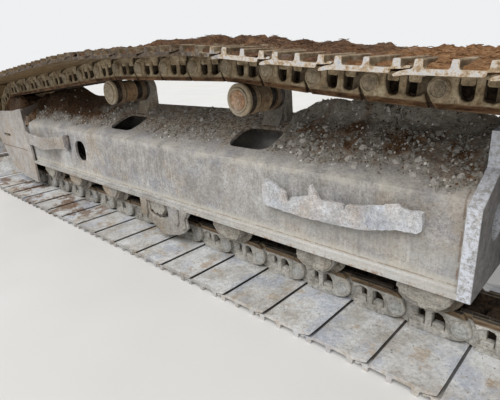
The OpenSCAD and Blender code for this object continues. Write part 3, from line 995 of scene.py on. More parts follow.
@dataclass(frozen=True)
class RollerSteel:
    """Rollers: dark shells with oil, and dry mud where nothing rubs; on the carriers, painted shade makes
    the inner side and the grooves near black.
    """

    name: str
    dark: Colour = rgb(46, 38, 30)
    light: Colour = rgb(84, 68, 50)
    mud: Colour = rgb(132, 118, 96)
    # The ring colour is for paler edges: rubbed wear and a painted highlight.
    ring: Colour = rgb(126, 108, 84)
    mud_share: float = 0.5
    banded: bool = False

    def build(self) -> Material:
        """Returns the material."""
        p = Painter(self.name)
        cloud = p.noise(18.0, 6, 0.7)
        colour = p.ramp(cloud, [(0.36, self.dark), (0.62, self.light)])
        if self.banded:
            # Near black bands: oil on the outer tread, painted shade on the inner side and in the
            # grooves.
            oil_and_painted_shade = p.ramp(p.noise(40.0, 6, 0.75),
                          [(0.36, rgb(24, 19, 16)), (0.52, rgb(58, 48, 40)), (0.66, rgb(96, 82, 68))])
            colour = p.mix(p.stored("band"), oil_and_painted_shade, colour)
        cake = p.span(p.noise(9.0, 7, 0.75, offset=8), 0.42, 0.58, 0, self.mud_share)
        if self.banded:
            cake = p.times(cake, p.span(p.stored("band"), 0.3, 0.9))
        colour = p.mix(cake, colour, self.mud)
        fine = p.noise(120.0, 6, 0.8)
        colour = p.grained(0.6, colour, fine)
        # Paler edges: rubbed wear and a painted highlight.
        colour = p.mix(p.times(p.edges(0.004), 0.45), colour, self.ring)
        p.relief(p.plus(cloud, fine), 0.0015)
        return p.finish(colour, p.span(cake, 0, 0.5, 0.5, 0.9))


class Finishes:
    """All the finishes, made once."""

    def __init__(self) -> None:
        """Builds each material."""
        self.frame = FramePlate(
            "frame_mud", rgb(142, 138, 133), rgb(166, 163, 159), rgb(188, 186, 183),
            tint=rgb(166, 148, 124), tint_share=0.4, scuffs=0.3, edge_wear_and_highlight_share=0.2,
            cool=rgb(136, 140, 152), cool_share=0.45).build()
        self.strip = RailStrip(
            "rail_strip_mud", rgb(145, 142, 136), rgb(171, 169, 163), rgb(190, 188, 184),
            tint_share=0.2, offset=4.0).build()
        self.end_plate = EndPlate(
            "end_plate_edge", rgb(150, 150, 148), rgb(176, 176, 176), rgb(196, 198, 202),
            tint_share=0.1, cool_share=0.5, speck=rgb(120, 112, 104), crust=0.8, offset=24.0).build()
        self.guard = GuardPlate(
            "guard_mud", rgb(146, 139, 132), rgb(167, 161, 155), rgb(186, 182, 178), scuffs=0.12,
            offset=9.0).build()
        self.step = CakedMud(
            "step_steel", rgb(164, 164, 164), rgb(190, 191, 193), rgb(210, 213, 217),
            tint=rgb(180, 152, 120), tint_share=0.4, cool=rgb(158, 166, 182), cool_share=0.6,
            scuffs=0.12, crust=0.65, offset=14.0).build()
        self.casting = CakedMud(
            "casting_mud", rgb(118, 112, 102), rgb(146, 141, 133), rgb(168, 164, 158), scuffs=0.05,
            crust=0.75, offset=19.0, edge_wear_and_highlight_share=0.3).build()
        self.crust = CakedMud(
            "collar_crust", rgb(122, 116, 106), rgb(152, 147, 138), rgb(174, 170, 161), scuffs=0.0,
            crust=0.75, offset=29.0, edge=rgb(206, 196, 178), edge_wear_and_highlight_share=0.4).build()
        self.link = LinkSteel().build()
        self.shoe = ShoeSteel().build()
        self.roller = RollerSteel(
            "roller_shell", dark=rgb(72, 64, 54), light=rgb(110, 100, 86), mud=rgb(156, 151, 142),
            mud_share=0.85).build()
        self.carrier = RollerSteel(
            "carrier_shell", dark=rgb(100, 76, 55), light=rgb(156, 125, 93), mud=rgb(174, 157, 130),
            ring=rgb(200, 180, 150), mud_share=0.7, banded=True).build()
        self.cap = CakedMud(
            "carrier_cap_mud", rgb(134, 120, 98), rgb(168, 152, 128), rgb(190, 176, 152), scuffs=0.0,
            edge_wear_and_highlight_share=0.4, tint_share=0.2, edge=rgb(208, 194, 168)).build()
        self.plain_disc = CakedMud(
            "plain_disc", rgb(132, 120, 102), rgb(166, 152, 130), rgb(190, 178, 156), scuffs=0.0,
            crust=0.9, pits=0.9, edge_wear_and_highlight_share=0.4, edge=rgb(208, 194, 168)).build()
        self.rusty_disc = CakedMud(
            "rusty_disc", rgb(118, 78, 50), rgb(160, 122, 90), rgb(204, 178, 152),
            tint=rgb(158, 100, 56), tint_share=0.7, scuffs=0.0, crust=0.95, pits=0.9, edge_wear_and_highlight_share=0.3,
            edge=rgb(206, 190, 166)).build()
        self.rust = CakedMud(
            "rust", rgb(92, 58, 34), rgb(132, 88, 54), rgb(164, 128, 92), scuffs=0.1, pits=0.9,
            edge_wear_and_highlight_share=0.2).build()
        self.dark = RollerSteel(
            "dark_dirty_steel", dark=rgb(30, 27, 24), mud=rgb(84, 76, 66), mud_share=0.35).build()
        browns = (rgb(56, 39, 27), rgb(112, 83, 58), rgb(158, 126, 95))
        greys = (rgb(108, 102, 93), rgb(160, 154, 143), rgb(198, 193, 184))
        self.soil = Earth("slope_soil", browns, greys, dark_x=0.8).build()
        self.idler = RollerSteel(
            "idler_mud", dark=rgb(48, 34, 23), light=rgb(86, 62, 42), mud=rgb(122, 94, 66),
            ring=rgb(120, 92, 62), mud_share=0.7).build()
        self.bracket = CakedMud(
            "bracket_mud", rgb(112, 106, 96), rgb(151, 144, 132), rgb(180, 173, 161), scuffs=0.05,
            crust=0.7, offset=33.0, edge_wear_and_highlight_share=0.15).build()
        self.heap = Earth(
            "track_soil", (rgb(34, 22, 15), rgb(84, 59, 41), rgb(140, 108, 78)),
            (rgb(62, 56, 52), rgb(98, 92, 88), rgb(136, 128, 118)), 120.0, tan_x=-1.15).build()
        self.clod = Stones("clods").build()
        self.gravel = Stones("gravel", (
            (0.0, rgb(36, 26, 19)), (0.3, rgb(96, 68, 46)), (0.46, rgb(138, 106, 76)),
            (0.5, rgb(96, 89, 80)), (0.82, rgb(140, 135, 127)), (0.95, rgb(164, 159, 151)),
            (1.0, rgb(222, 218, 212)))).build()


# Geometry node trees


class NodeTree:
    """Builds one Geometry Nodes tree with named inputs and runs it on a mesh."""

    def __init__(self, name: str) -> None:
        """Starts an empty tree with a geometry input and output."""
        self.group = bpy.data.node_groups.new(name, "GeometryNodeTree")
        self.group.interface.new_socket("Geometry", in_out="OUTPUT",
                                        socket_type="NodeSocketGeometry")
        self.sockets: dict[str, str] = {}
        self.give(Geometry="Geometry")
        self.source = self.node("NodeGroupInput")
        self.target = self.node("NodeGroupOutput")

    def give(self, **kinds: str) -> None:
        """Adds named inputs, each of a kind of socket."""
        for name, kind in kinds.items():
            item = self.group.interface.new_socket(name, in_out="INPUT",
                                                   socket_type="NodeSocket" + kind)
            self.sockets[name] = item.identifier

    def take(self, name: str, socket: Socket) -> None:
        """Links a named input to a socket."""
        self.join(self.source.outputs[name], socket)

    def node(self, kind: str, **settings: object) -> bpy.types.Node:
        """Returns a new node with some of its settings."""
        made = self.group.nodes.new(kind)
        for key, value in settings.items():
            setattr(made, key, value)
        return made

    def join(self, a: Socket, b: Socket) -> None:
        """Links two sockets."""
        self.group.links.new(a, b)

    def attribute(self, name: str) -> Socket:
        """Returns a named number of the incoming geometry."""
        made = self.node("GeometryNodeInputNamedAttribute", data_type="FLOAT")
        made.inputs["Name"].default_value = name
        return made.outputs[0]

    def close(self, instances: Socket) -> None:
        """Gives each copy a tone, makes the copies real and sets their material.

        Args:
            instances: The copies.
        """
        chance = self.node("FunctionNodeRandomValue", data_type="FLOAT")
        self.take("Seed", chance.inputs["Seed"])
        keep = self.node("GeometryNodeStoreNamedAttribute", data_type="FLOAT", domain="INSTANCE")
        keep.inputs["Name"].default_value = "tone"
        self.join(instances, keep.inputs["Geometry"])
        self.join(chance.outputs[1], keep.inputs["Value"])
        real = self.node("GeometryNodeRealizeInstances")
        self.join(keep.outputs[0], real.inputs[0])
        paint = self.node("GeometryNodeSetMaterial")
        self.join(real.outputs[0], paint.inputs["Geometry"])
        self.take("Finish", paint.inputs["Material"])
        self.join(paint.outputs[0], self.target.inputs[0])

    def run(self, mesh: Mesh, **values: object) -> Mesh:
        """Runs the tree on a mesh and returns the result as a plain mesh.

        Args:
            mesh: Points or surface that the tree starts from; it is removed.
            values: Values of the named inputs.

        Returns:
            The mesh with all copies made real.
        """
        holder = placed("holder", mesh)
        modifier = holder.modifiers.new("copies", "NODES")
        modifier.node_group = self.group
        for name, value in values.items():
            modifier[self.sockets[name]] = value
        result = baked(holder)
        bpy.data.meshes.remove(mesh)
        return result


class Repeater(NodeTree):
    """Sets a copy of one piece at each point, turned by the point's own lean."""

    def __init__(self) -> None:
        """Builds the tree."""
        super().__init__("set_along_the_track")
        self.give(Piece="Object", Seed="Int", Finish="Material")
        piece_info = self.node("GeometryNodeObjectInfo")
        self.take("Piece", piece_info.inputs[0])
        turn = self.node("ShaderNodeCombineXYZ")
        self.join(self.attribute("lean"), turn.inputs["Y"])
        copies = self.node("GeometryNodeInstanceOnPoints")
        self.take("Geometry", copies.inputs["Points"])
        self.join(piece_info.outputs["Geometry"], copies.inputs["Instance"])
        self.join(turn.outputs[0], copies.inputs["Rotation"])
        self.close(copies.outputs[0])


class Scatterer(NodeTree):
    """Strews copies of one small piece over a surface, where its share "cover" is high."""

    def __init__(self) -> None:
        """Builds the tree."""
        super().__init__("strew_over_a_surface")
        self.give(Piece="Object", Amount="Float", Smallest="Float", Largest="Float",
                  Turn="Vector", Seed="Int", Finish="Material")
        piece_info = self.node("GeometryNodeObjectInfo")
        self.take("Piece", piece_info.inputs[0])
        amount = self.node("ShaderNodeMath", operation="MULTIPLY")
        self.join(self.attribute("cover"), amount.inputs[0])
        self.take("Amount", amount.inputs[1])
        spread = self.node("GeometryNodeDistributePointsOnFaces")
        self.take("Geometry", spread.inputs["Mesh"])
        self.join(amount.outputs[0], spread.inputs["Density"])
        self.take("Seed", spread.inputs["Seed"])
        turn = self.node("FunctionNodeRandomValue", data_type="FLOAT_VECTOR")
        self.take("Turn", turn.inputs[1])
        self.take("Seed", turn.inputs["Seed"])
        chance = self.node("FunctionNodeRandomValue", data_type="FLOAT")
        self.take("Seed", chance.inputs["Seed"])
        few_big = self.node("ShaderNodeMath", operation="POWER")
        self.join(chance.outputs[1], few_big.inputs[0])
        few_big.inputs[1].default_value = 3.0
        size = self.node("ShaderNodeMapRange")
        self.join(few_big.outputs[0], size.inputs["Value"])
        self.take("Smallest", size.inputs["To Min"])
        self.take("Largest", size.inputs["To Max"])
        copies = self.node("GeometryNodeInstanceOnPoints")
        self.join(spread.outputs["Points"], copies.inputs["Points"])
        self.join(piece_info.outputs["Geometry"], copies.inputs["Instance"])
        self.join(turn.outputs[0], copies.inputs["Rotation"])
        self.join(size.outputs[0], copies.inputs["Scale"])
        self.close(copies.outputs[0])


# The track


@dataclass
class PinLine:
    """Closed line through the chain's pins, by the same rule as in the part's source."""

    pitch: float = 215.9
    links: int = 48
    teeth: int = 21
    drive: Point2 = (-2032.0, 464.0)
    idler: Point2 = (2043.0, 446.0)
    idler_pin_r: float = 349.0
    carriers: Span = (-558.0, 457.0)
    carrier_z: Span = (793.0, 801.0)
    carrier_line: float = 129.0
    last_roller: float = 1396.0
    first_roller: float = -1390.0
    roller_z: float = 236.3
    roller_line: float = 143.3
    pin_x: float = 31.3
    sag: float = 25.0
    pins: list[Point2] = field(init=False)
    leans: list[float] = field(init=False)

    def __post_init__(self) -> None:
        """Works out the wheels' arcs, the straight spans and the pins."""
        drive_r = self.pitch / (2 * math.sin(2 * math.pi / self.teeth))
        carriers = [(x, z, self.carrier_line) for x, z in zip(self.carriers, self.carrier_z)]
        self.wheels = [(*self.drive, drive_r), *carriers, (*self.idler, self.idler_pin_r),
                       (self.last_roller, self.roller_z, self.roller_line),
                       (self.first_roller, self.roller_z, self.roller_line)]
        n = len(self.wheels)
        self.angles: list[float] = []
        self.lengths: list[float] = []
        for k in range(n):
            (ax, az, ar), (bx, bz, br) = self.wheels[k], self.wheels[(k + 1) % n]
            apart = math.hypot(bx - ax, bz - az)
            self.angles.append(math.atan2(bz - az, bx - ax) + math.asin((br - ar) / apart))
            self.lengths.append(math.sqrt(apart ** 2 - (br - ar) ** 2))
        self.steps = [2 * math.asin(self.pitch / (2 * w[2])) for w in self.wheels]
        self.arcs = [(self.angles[k - 1] - self.angles[k] + 4 * math.pi) % (2 * math.pi)
                     / self.steps[k] * self.pitch for k in range(n)]
        self.total = sum(self.arcs) + sum(self.lengths)
        self.step = self.total / self.links
        lower_start = sum(self.arcs[:5]) + sum(self.lengths[:4])
        lower_x0 = self.last_roller - self.roller_line * math.sin(self.angles[4])
        first = lower_start + lower_x0 - self.pin_x
        self.pins = [self.along((first + i * self.step) % self.total) for i in range(self.links)]
        self.leans = []
        for i in range(self.links):
            (ax, az), (bx, bz) = self.pins[i], self.pins[(i + 1) % self.links]
            self.leans.append(math.atan2(bz - az, bx - ax))

    def along(self, s: float) -> Point2:
        """Returns the point at a distance along the line from where it meets the sprocket.

        Args:
            s: Distance from where the line meets the sprocket.

        Returns:
            X and Z.
        """
        for k, (x, z, r) in enumerate(self.wheels):
            if s < self.arcs[k]:
                a = self.angles[k - 1] - s / self.pitch * self.steps[k]
                return x - r * math.sin(a), z + r * math.cos(a)
            s -= self.arcs[k]
            if s < self.lengths[k]:
                a = self.angles[k]
                sag = self.sag * 4 * s * (self.lengths[k] - s) / self.lengths[k] ** 2 if k == 0 else 0
                out = r - sag
                return (x - out * math.sin(a) + s * math.cos(a),
                        z + out * math.cos(a) + s * math.sin(a))
            s -= self.lengths[k]
        return self.along(s)

    def at(self, i: int, s: float, n: float) -> Point2:
        """Returns the X and Z of a point s along link i from its pin and n outwards.

        Args:
            i: Number of the link.
            s: Distance along it from its pin.
            n: Distance outwards.

        Returns:
            X and Z.
        """
        x, z = self.pins[i % self.links]
        a = self.leans[i % self.links]
        return (x + s * math.cos(a) - n * math.sin(a), z + s * math.sin(a) + n * math.cos(a))

    def points(self) -> Mesh:
        """Returns a mesh of the pins as bare points that hold their lean."""
        mesh = bpy.data.meshes.new("pins")
        mesh.from_pydata([(x * MM, 0, z * MM) for x, z in self.pins], [], [])
        data = mesh.attributes.new("lean", "FLOAT", "POINT")
        data.data.foreach_set("value", [-lean for lean in self.leans])
        return mesh


@dataclass
class Link:
    """One pair of links: a narrow inboard end, a body with two windows and a wide round end."""

    pitch: float
    seat_n: float = 57.0
    rail_n: float = -59.0
    nut_s: Span = (75.0, 143.0)
    nut_y: Span = (74.0, 99.0)
    window_s: Span = (121.0, 167.0)
    notch_s: Span = (99.0, 38.0)
    web_share: float = 0.98
    narrow_y: Span = (64.0, 88.0)
    web_y: Span = (70.0, 86.0)
    face_y: Span = (86.0, 103.0)
    wide_y: Span = (87.0, 109.0)
    boss_y: float = 114.0
    bushing_r: float = 33.0

    def narrow_end(self) -> Mesh:
        """Returns the inboard end round the rear pin."""
        arc = circle(0, 0, 42, 12, 230, 118)
        outline = [(70, self.rail_n), (-14, self.rail_n), *arc, (12, 46), (38, 55), (70, 55)]
        return slab([outline], *self.narrow_y, bevel=2)

    @staticmethod
    def window(rib: float, far: float, share: float = 1.0) -> list[Point2]:
        """Returns one window: straight beside the rib, round on its far side.

        Args:
            rib: Place of the straight side.
            far: Place of the middle of the round side.
            share: Share of the full size that is open, from the rib on.

        Returns:
            The window's outline.
        """
        w = (far - rib) * share
        rows = ((0.0, 30), (0.0, -22), (0.13, -29), (0.42, -32), (0.72, -26), (0.92, -11),
                (1.0, 8), (0.98, 30))
        return [(rib + w * s, n if n > 0 else n * share) for s, n in rows]

    def body(self) -> Mesh:
        """Returns the middle: a face with wide windows on a web with smaller ones."""
        front = [(self.pitch - 30, self.rail_n), (self.pitch - 26, -30), (self.pitch - 28, 38),
                 (self.pitch - 40, 50), (self.pitch - 50, self.seat_n)]
        notch = self.window(*self.notch_s)
        face = [(40, self.seat_n), (47, 44), (notch[-1][0] + 6, 30), *notch[:-3], (42, -18),
                (38, -30), (32, -42), (24, self.rail_n), *front]
        web = [(40, self.seat_n), (30, 40), (22, 0), (20, self.rail_n), *front]
        smaller = [self.window(*ends, self.web_share) for ends in (self.window_s, self.notch_s)]
        return combine([slab([face, self.window(*self.window_s)], *self.face_y, bevel=3),
                        slab([web, *smaller], *self.web_y, bevel=1)])

    def wide_end(self) -> Mesh:
        """Returns the round outboard end, cut back slantwise to the rail, and the pin in it."""
        p = self.pitch
        outline = [(p - 40, self.rail_n), (p - 36, -20), (p - 38, 20), (p - 46, 50), (p - 36, 53),
                   (p - 18, 46), (p - 4, 42), (p + 10, 37), (p + 21, 28), (p + 28, 14),
                   (p + 30, 0), (p + 28, -14), (p + 21, -31), (p + 10, -46), (p - 2, self.rail_n)]
        plate = slab([outline], *self.wide_y, bevel=4, rounds=1)
        for v in plate.vertices:
            sunk = 8 * (1 - ease(v.co.x / MM, p - 44, p - 14))
            v.co.y -= MM * sunk if v.co.y > 0.1 else 0.0
        y0, y1 = self.wide_y[1] - 3, self.boss_y
        profile = [(33, y0), (32, y0 + 4), (29.5, y1 - 3), (27, y1), (24.5, y1), (23.8, y1 - 2.5),
                   (22, y1 - 2.5), (20.5, y1 - 0.6), (11, y1 + 0.5), (0, y1)]
        return combine([plate, turned(profile, p, 0, 22)])

    def nuts(self) -> Mesh:
        """Returns the two nuts that hang into the windows."""
        made = []
        for s in self.nut_s:
            outline = [(s - 20, 34), (s - 20, 16), (s - 15, 11), (s + 15, 11), (s + 20, 16), (s + 20, 34)]
            made.append(slab([outline], *self.nut_y, bevel=3, rounds=1))
        return combine(made)

    def row(self, side: Side) -> Mesh:
        """Returns one row's link, on the given side."""
        mesh = combine([self.narrow_end(), self.body(), self.wide_end(), self.nuts()])
        return moved(mesh, side.mirror())

    def filling(self) -> Mesh:
        """Returns the mud packed between the rows against the shoe, which the link finish paints near
        black as shade.
        """
        under = [(s, 27 - 54 * ease(s, 20, 50) * ease(190 - s, 0, 22) + 9 * grain(s, 3, 1, 40, 2))
                 for s in range(-4, int(self.pitch) - 6, 10)]
        return slab([[*under, (self.pitch - 8, 56), (-4, 56)]], -64, 64)

    def mesh(self) -> Mesh:
        """Returns both rows and what lies between them, with the height over the pins stored."""
        y = self.narrow_y[0] + 2
        bushing = turned([(0, -y), (self.bushing_r, -y), (self.bushing_r, y), (0, y)], 0, 0, 20)
        whole = combine([self.row(Side.OUTER), self.row(Side.INNER), bushing, self.filling()])
        store(whole, "rise", lambda co: co.z)
        return whole


@dataclass
class Shoe:
    """One triple-grouser shoe with a raised rear edge and a dropped front lip."""

    pitch: float
    half_width: float = 365.0
    columns: int = 13
    grousers: tuple[Point2, ...] = ((8, 27), (89, 108), (171, 191))
    bolt_s: Span = (66.0, 143.0)
    bolt_y: float = 85.0

    def profile(self) -> list[Point2]:
        """Returns the shoe's section, s and n, closed."""
        p = self.pitch
        outer = [(-17, 73.5), (-16, 76.5), (-11, 78), (-4, 76), (1, 71.5)]
        for a, b in self.grousers:
            outer += [(a - 4, 70.8), (a - 0.8, 75), (a + 0.4, 90.5), (a + 2.6, 93), (b - 2.6, 93),
                      (b - 0.4, 90.5), (b + 1.2, 75), (b + 6, 70.5)]
        outer += [(p - 12, 69.5), (p + 3, 66), (p + 13, 62.8), (p + 20, 60.2), (p + 25, 57),
                  (p + 26, 54)]
        inner = [(p + 23, 51.5), (p + 12, 52.5), (p - 4, 56), (p - 20, 57), (120, 57), (58, 57),
                 (37, 57.6), (33, 60), (31.5, 67.5), (6, 69), (-6, 70.5), (-14, 71.5)]
        return outer + inner

    def mesh(self) -> Mesh:
        """Returns the plate, a little uneven along its width, and its bolt heads."""
        section = self.profile()
        count = len(section)
        points: list[Point3] = []
        faces: list[tuple[int, ...]] = []
        for c in range(self.columns):
            y = self.half_width * (2 * c / (self.columns - 1) - 1)
            inset = 1.2 if c in (0, self.columns - 1) else 0.0
            for s, n in section:
                wave = 1.1 * noise.noise(Vector((s / 90, y / 110, 3.7))) if abs(y) > 130 else 0.0
                points.append((s + (inset if s < 100 else -inset), y, min(n + wave, 93.0)))
        for c in range(self.columns - 1):
            for k in range(count):
                a, b = c * count + k, c * count + (k + 1) % count
                faces.append((a, b, b + count, a + count))
        faces.append(tuple(range(count)))
        faces.append(tuple((self.columns - 1) * count + k for k in reversed(range(count))))
        parts = [new_mesh(points, faces)]
        for s in self.bolt_s:
            for y in (-self.bolt_y, self.bolt_y):
                head = turned([(0, 68), (17, 68), (17, 80), (15, 83), (0, 83)], 0, 0, 6)
                parts.append(moved(head, shift(s, y, 0) @ Matrix.Rotation(math.pi / 2, 4, "X")))
        whole = combine(parts)
        store(whole, "groove", lambda co: 1.0 if 0 < co.x < 0.0325 and 0.0595 < co.z < 0.0697 else 0.0)
        return whole


@dataclass
class Track:
    """The chain and the shoes, set along the pin line, and the earth that the shoes carry."""

    line: PinLine
    finishes: Finishes
    repeater: Repeater
    soil_rows: int = 20
    soil_columns: int = 66
    soil_half_w: float = 361.0
    top_z: float = 1046.0

    def set_out(self, name: str, mesh: Mesh, finish: Material, slot: Slot,
                node: str, seed: int) -> None:
        """Sets one piece at every pin and makes the result stand for a node.

        Args:
            name: Name of the finished piece.
            mesh: The piece at one pin.
            finish: Its material.
            slot: Its slot of the record.
            node: CAD node that it stands for.
            seed: Seed of the copies' tones.
        """
        prototype = bpy.data.objects.new("one_of_" + name, mesh)
        result = self.repeater.run(self.line.points(), Piece=prototype, Seed=seed, Finish=finish)
        bpy.data.objects.remove(prototype)
        piece(name, result, finish, slot, (node,), angle=32)

    def upper(self) -> list[int]:
        """Returns the links of the upper run, from the sprocket to the idler."""
        return [i for i in range(self.line.links)
                if abs(self.line.leans[i]) < math.radians(24) and self.line.pins[i][1] > 600]

    def pocket(self, i: int, s: float, y: float) -> float:
        """Returns how high earth lies on a shoe of the upper run, from the pins in mm.

        Args:
            i: Number of the link.
            s: Distance along it.
            y: Place across the track.

        Returns:
            The height.
        """
        x, _ = self.line.at(i, s, 80)
        lump = grain(x, y, 5, 95, 4)
        bare = grain(x, y * 0.2, 9, 210, 2)
        rim = abs(y) + 10 * grain(x, y, 2, 60, 2) + 26 * bare
        fill = 82 + 6 * lump - 9 * ease(bare, 0.1, 0.5)
        heap = 22 * ease(345 - abs(y), 20, 190) * (0.62 + 0.9 * lump)
        heap *= 1 + 1.2 * ease(x, -640, -420) * ease(-x, 0, 170)
        edge = ease(rim, 341, 361)
        top = fill + max(-6, heap) + 2.2 * grain(x, y, 1, 18, 2)
        return top * (1 - edge) + 62 * edge

    def earth(self, scatterer: Scatterer) -> None:
        """Makes the earth on the upper run, with stalks in it.

        Args:
            scatterer: Tree that strews the stalks.
        """
        chosen = sorted(self.upper(), key=lambda i: self.line.pins[i][0])
        rows = [(i, self.line.pitch * r / self.soil_rows) for i in chosen
                for r in range(self.soil_rows)]

        def at(row: int, column: int) -> Point3:
            """Returns one point of the earth's surface."""
            i, s = rows[row]
            y = self.soil_half_w * (2 * column / (self.soil_columns - 1) - 1)
            x, z = self.line.at(i, s, self.pocket(i, s, y))
            return x, y, min(z, self.top_z + 4 * grain(x, y, 6, 30, 3))

        mesh = sheet_mesh(len(rows), self.soil_columns, at)
        mesh.flip_normals()
        store(mesh, "grey", lambda co: 0.7 * ease(grain(co.x * 1000, co.y * 1000, 3, 200, 3), 0.3, 0.9))
        store(mesh, "cover", lambda co: 1.0 if abs(co.y) < 0.33 else 0.25)
        surface = mesh.copy()
        piece("track_soil", mesh, self.finishes.heap, Slot.SHOE, angle=60)
        stalk = bpy.data.objects.new("stalk", self.stalk())
        straws = scatterer.run(surface, Piece=stalk, Amount=900.0, Smallest=0.5, Largest=1.5,
                               Turn=(0.3, 0.3, 6.283), Seed=11, Finish=self.finishes.heap)
        bpy.data.objects.remove(stalk)
        piece("track_stalks", straws, self.finishes.heap, Slot.SHOE, angle=60)

    @staticmethod
    def stalk() -> Mesh:
        """Returns one thin bent stalk of three sides."""
        points: list[Point3] = []
        faces: list[tuple[int, ...]] = []
        for k, (x, z) in enumerate(((-16, 0), (-5, 3), (7, 2), (18, 6))):
            for a in range(3):
                w = 2 * math.pi * a / 3
                points.append((x, 1.1 * math.cos(w), z + 1.1 * math.sin(w)))
            if k:
                for a in range(3):
                    faces.append((3 * k - 3 + a, 3 * k - 3 + (a + 1) % 3, 3 * k + (a + 1) % 3,
                                  3 * k + a))
        faces += [(0, 1, 2), (9, 10, 11)]
        return new_mesh(points, faces)

    def build(self, scatterer: Scatterer) -> None:
        """Builds chain, shoes and earth.

        Args:
            scatterer: Tree that strews the stalks.
        """
        self.set_out("chain_links", Link(self.line.pitch).mesh(), self.finishes.link, Slot.CHAIN,
                     "track_chain", 3)
        self.set_out("shoe_plates", Shoe(self.line.pitch).mesh(), self.finishes.shoe, Slot.SHOE,
                     "track_shoes", 7)
        self.earth(scatterer)


# Rollers


@dataclass
class Collars:
    """Cast collars that hold the track rollers under the bottom rails, caked with mud."""

    finishes: Finishes
    stations: tuple[float, ...] = (-1390, -971, -495, 53, 531, 993, 1396)
    roller_z: float = 236.3
    rail_z: float = 252.0
    radius: float = 74.0
    y0: float = 126.0
    y1: float = 168.0
    stub_y: float = 119.0
    stub_r: float = 40.0
    block: tuple[Point2, ...] = ((24, -73), (45, -73), (66, -68), (85, -60), (101, -45), (102, -20))

    def core(self, x: float, seed: int) -> Mesh:
        """Returns one collar as a rounded lump with the roller's end disc in it.

        Args:
            x: Place of the roller.
            seed: Seed of its lumps.

        Returns:
            The casting.
        """
        rise = self.rail_z - self.roller_z
        turn = math.degrees(math.asin(rise / self.radius))
        block = [(x + s, self.roller_z + n) for s, n in self.block]
        outline = [*circle(x, self.roller_z, self.radius - 1, 14, 180 - turn, 272), *block,
                   (block[-1][0], self.rail_z)]
        body = slab([outline], self.y0, self.y1 - 2, bevel=7, rounds=2)
        disc = turned([(0, self.y1 - 6), (40, self.y1 - 6), (40, self.y1 + 1), (37, self.y1 + 3),
                       (0, self.y1 + 3)], x, self.roller_z - 8, 24)
        return roughened(combine([body, disc]), seed, 2.2, self.rail_z + 2)

    def skin(self, x: float, seed: int) -> Mesh:
        """Returns the crust of mud on a collar's face, broken off along its lower edge.

        Args:
            x: Place of the roller.
            seed: Seed of its edge.

        Returns:
            The crust.
        """
        outline = []
        for k in range(44):
            a = math.radians(190 + 160 * k / 43)
            broken = 9 * grain(k * 5, seed * 40, 0, 17, 3) + 7 * grain(k * 5, seed * 40, 9, 60, 2)
            reach = 68 + broken + 34 * ease(math.cos(a), 0.2, 0.9)
            flat = 62 + broken
            outline.append((x + reach * math.cos(a), self.roller_z + flat * math.sin(a)))
        outline += [(outline[-1][0] - 2, self.rail_z), (outline[0][0] + 2, self.rail_z)]
        plate = slab([outline], self.y1 - 8, self.y1 + 8, bevel=3, rounds=1)
        return roughened(plate, seed + 0.5, 2.8, self.rail_z + 1, 14.0)

    def build(self) -> None:
        """Builds the collars on both sides of all rollers."""
        cores, skins = [], []
        for k, x in enumerate(self.stations):
            for side in Side:
                cores.append(moved(self.core(x, 2 * k + side.value), side.mirror()))
                skins.append(moved(self.skin(x, 2 * k + side.value), side.mirror()))
                y, radius = self.stub_y, self.stub_r
                stub = turned([(0, y), (radius, y), (radius, self.y0), (0, self.y0)], x,
                              self.roller_z, 20)
                cores.append(moved(stub, side.mirror()))
        piece("collar_castings", combine(cores), self.finishes.casting, Slot.CASTING,
              ("roller_collars",), angle=50)
        piece("collar_crusts", combine(skins), self.finishes.crust, Slot.CASTING, angle=50)


@dataclass
class CentreGuards:
    """Cast guards at the middle roller: a notched plate with ribs and a blunt lower nose."""

    finishes: Finishes
    x: float = 53.0
    rail_z: float = 252.0
    y0: float = 172.0
    y1: float = 187.0
    plate: tuple[Point2, ...] = (
        (138, 0), (142, -99), (61, -136), (16, -154), (-23, -173), (-63, -180), (-176, -155),
        (-227, -130), (-267, -95), (-258, -50), (-286, -13), (-286, 0), (-103, 0), (-103, -72),
        (-23, -91), (24, -87), (57, -72), (61, 0))
    ribs: tuple[tuple[Point2, ...], ...] = (
        ((-148, 0), (-144, -60), (-156, -92), (-190, -98), (-204, -66), (-202, 0)),
        ((-216, 0), (-214, -84), (-232, -112), (-258, -92), (-251, -50), (-278, -12), (-278, 0)),
        ((68, 0), (70, -82), (84, -112), (118, -104), (132, -86), (130, 0)))
    hooks: Span = (-256.0, 106.0)
    hook_y: Span = (126.0, 174.0)

    def at(self, outline: Sequence[Point2]) -> list[Point2]:
        """Returns an outline moved to the middle roller."""
        return [(self.x + s, self.rail_z + n) for s, n in outline]

    def one(self, seed: int) -> Mesh:
        """Returns one guard for the outer side.

        Args:
            seed: Seed of its lumps.

        Returns:
            The guard.
        """
        parts = [slab([self.at(self.plate)], self.y0, self.y1, bevel=6, rounds=2)]
        parts += [slab([self.at(rib)], self.y1 - 4, self.y1 + 11, bevel=6, rounds=2)
                  for rib in self.ribs]
        parts += [slab([self.at(((s, 0), (s + 30, 0), (s + 30, -20), (s, -20)))], *self.hook_y,
                       bevel=1) for s in self.hooks]
        return roughened(combine(parts), seed, 3.2, self.rail_z + 0.5)

    def build(self) -> None:
        """Builds both guards."""
        for side, node in ((Side.OUTER, "guard_centre_outer"), (Side.INNER, "guard_centre_inner")):
            mesh = moved(self.one(40 + side.value), side.mirror())
            piece(node.replace("guard", "cast_guard"), mesh, self.finishes.casting, Slot.CASTING,
                  (node,), angle=50)


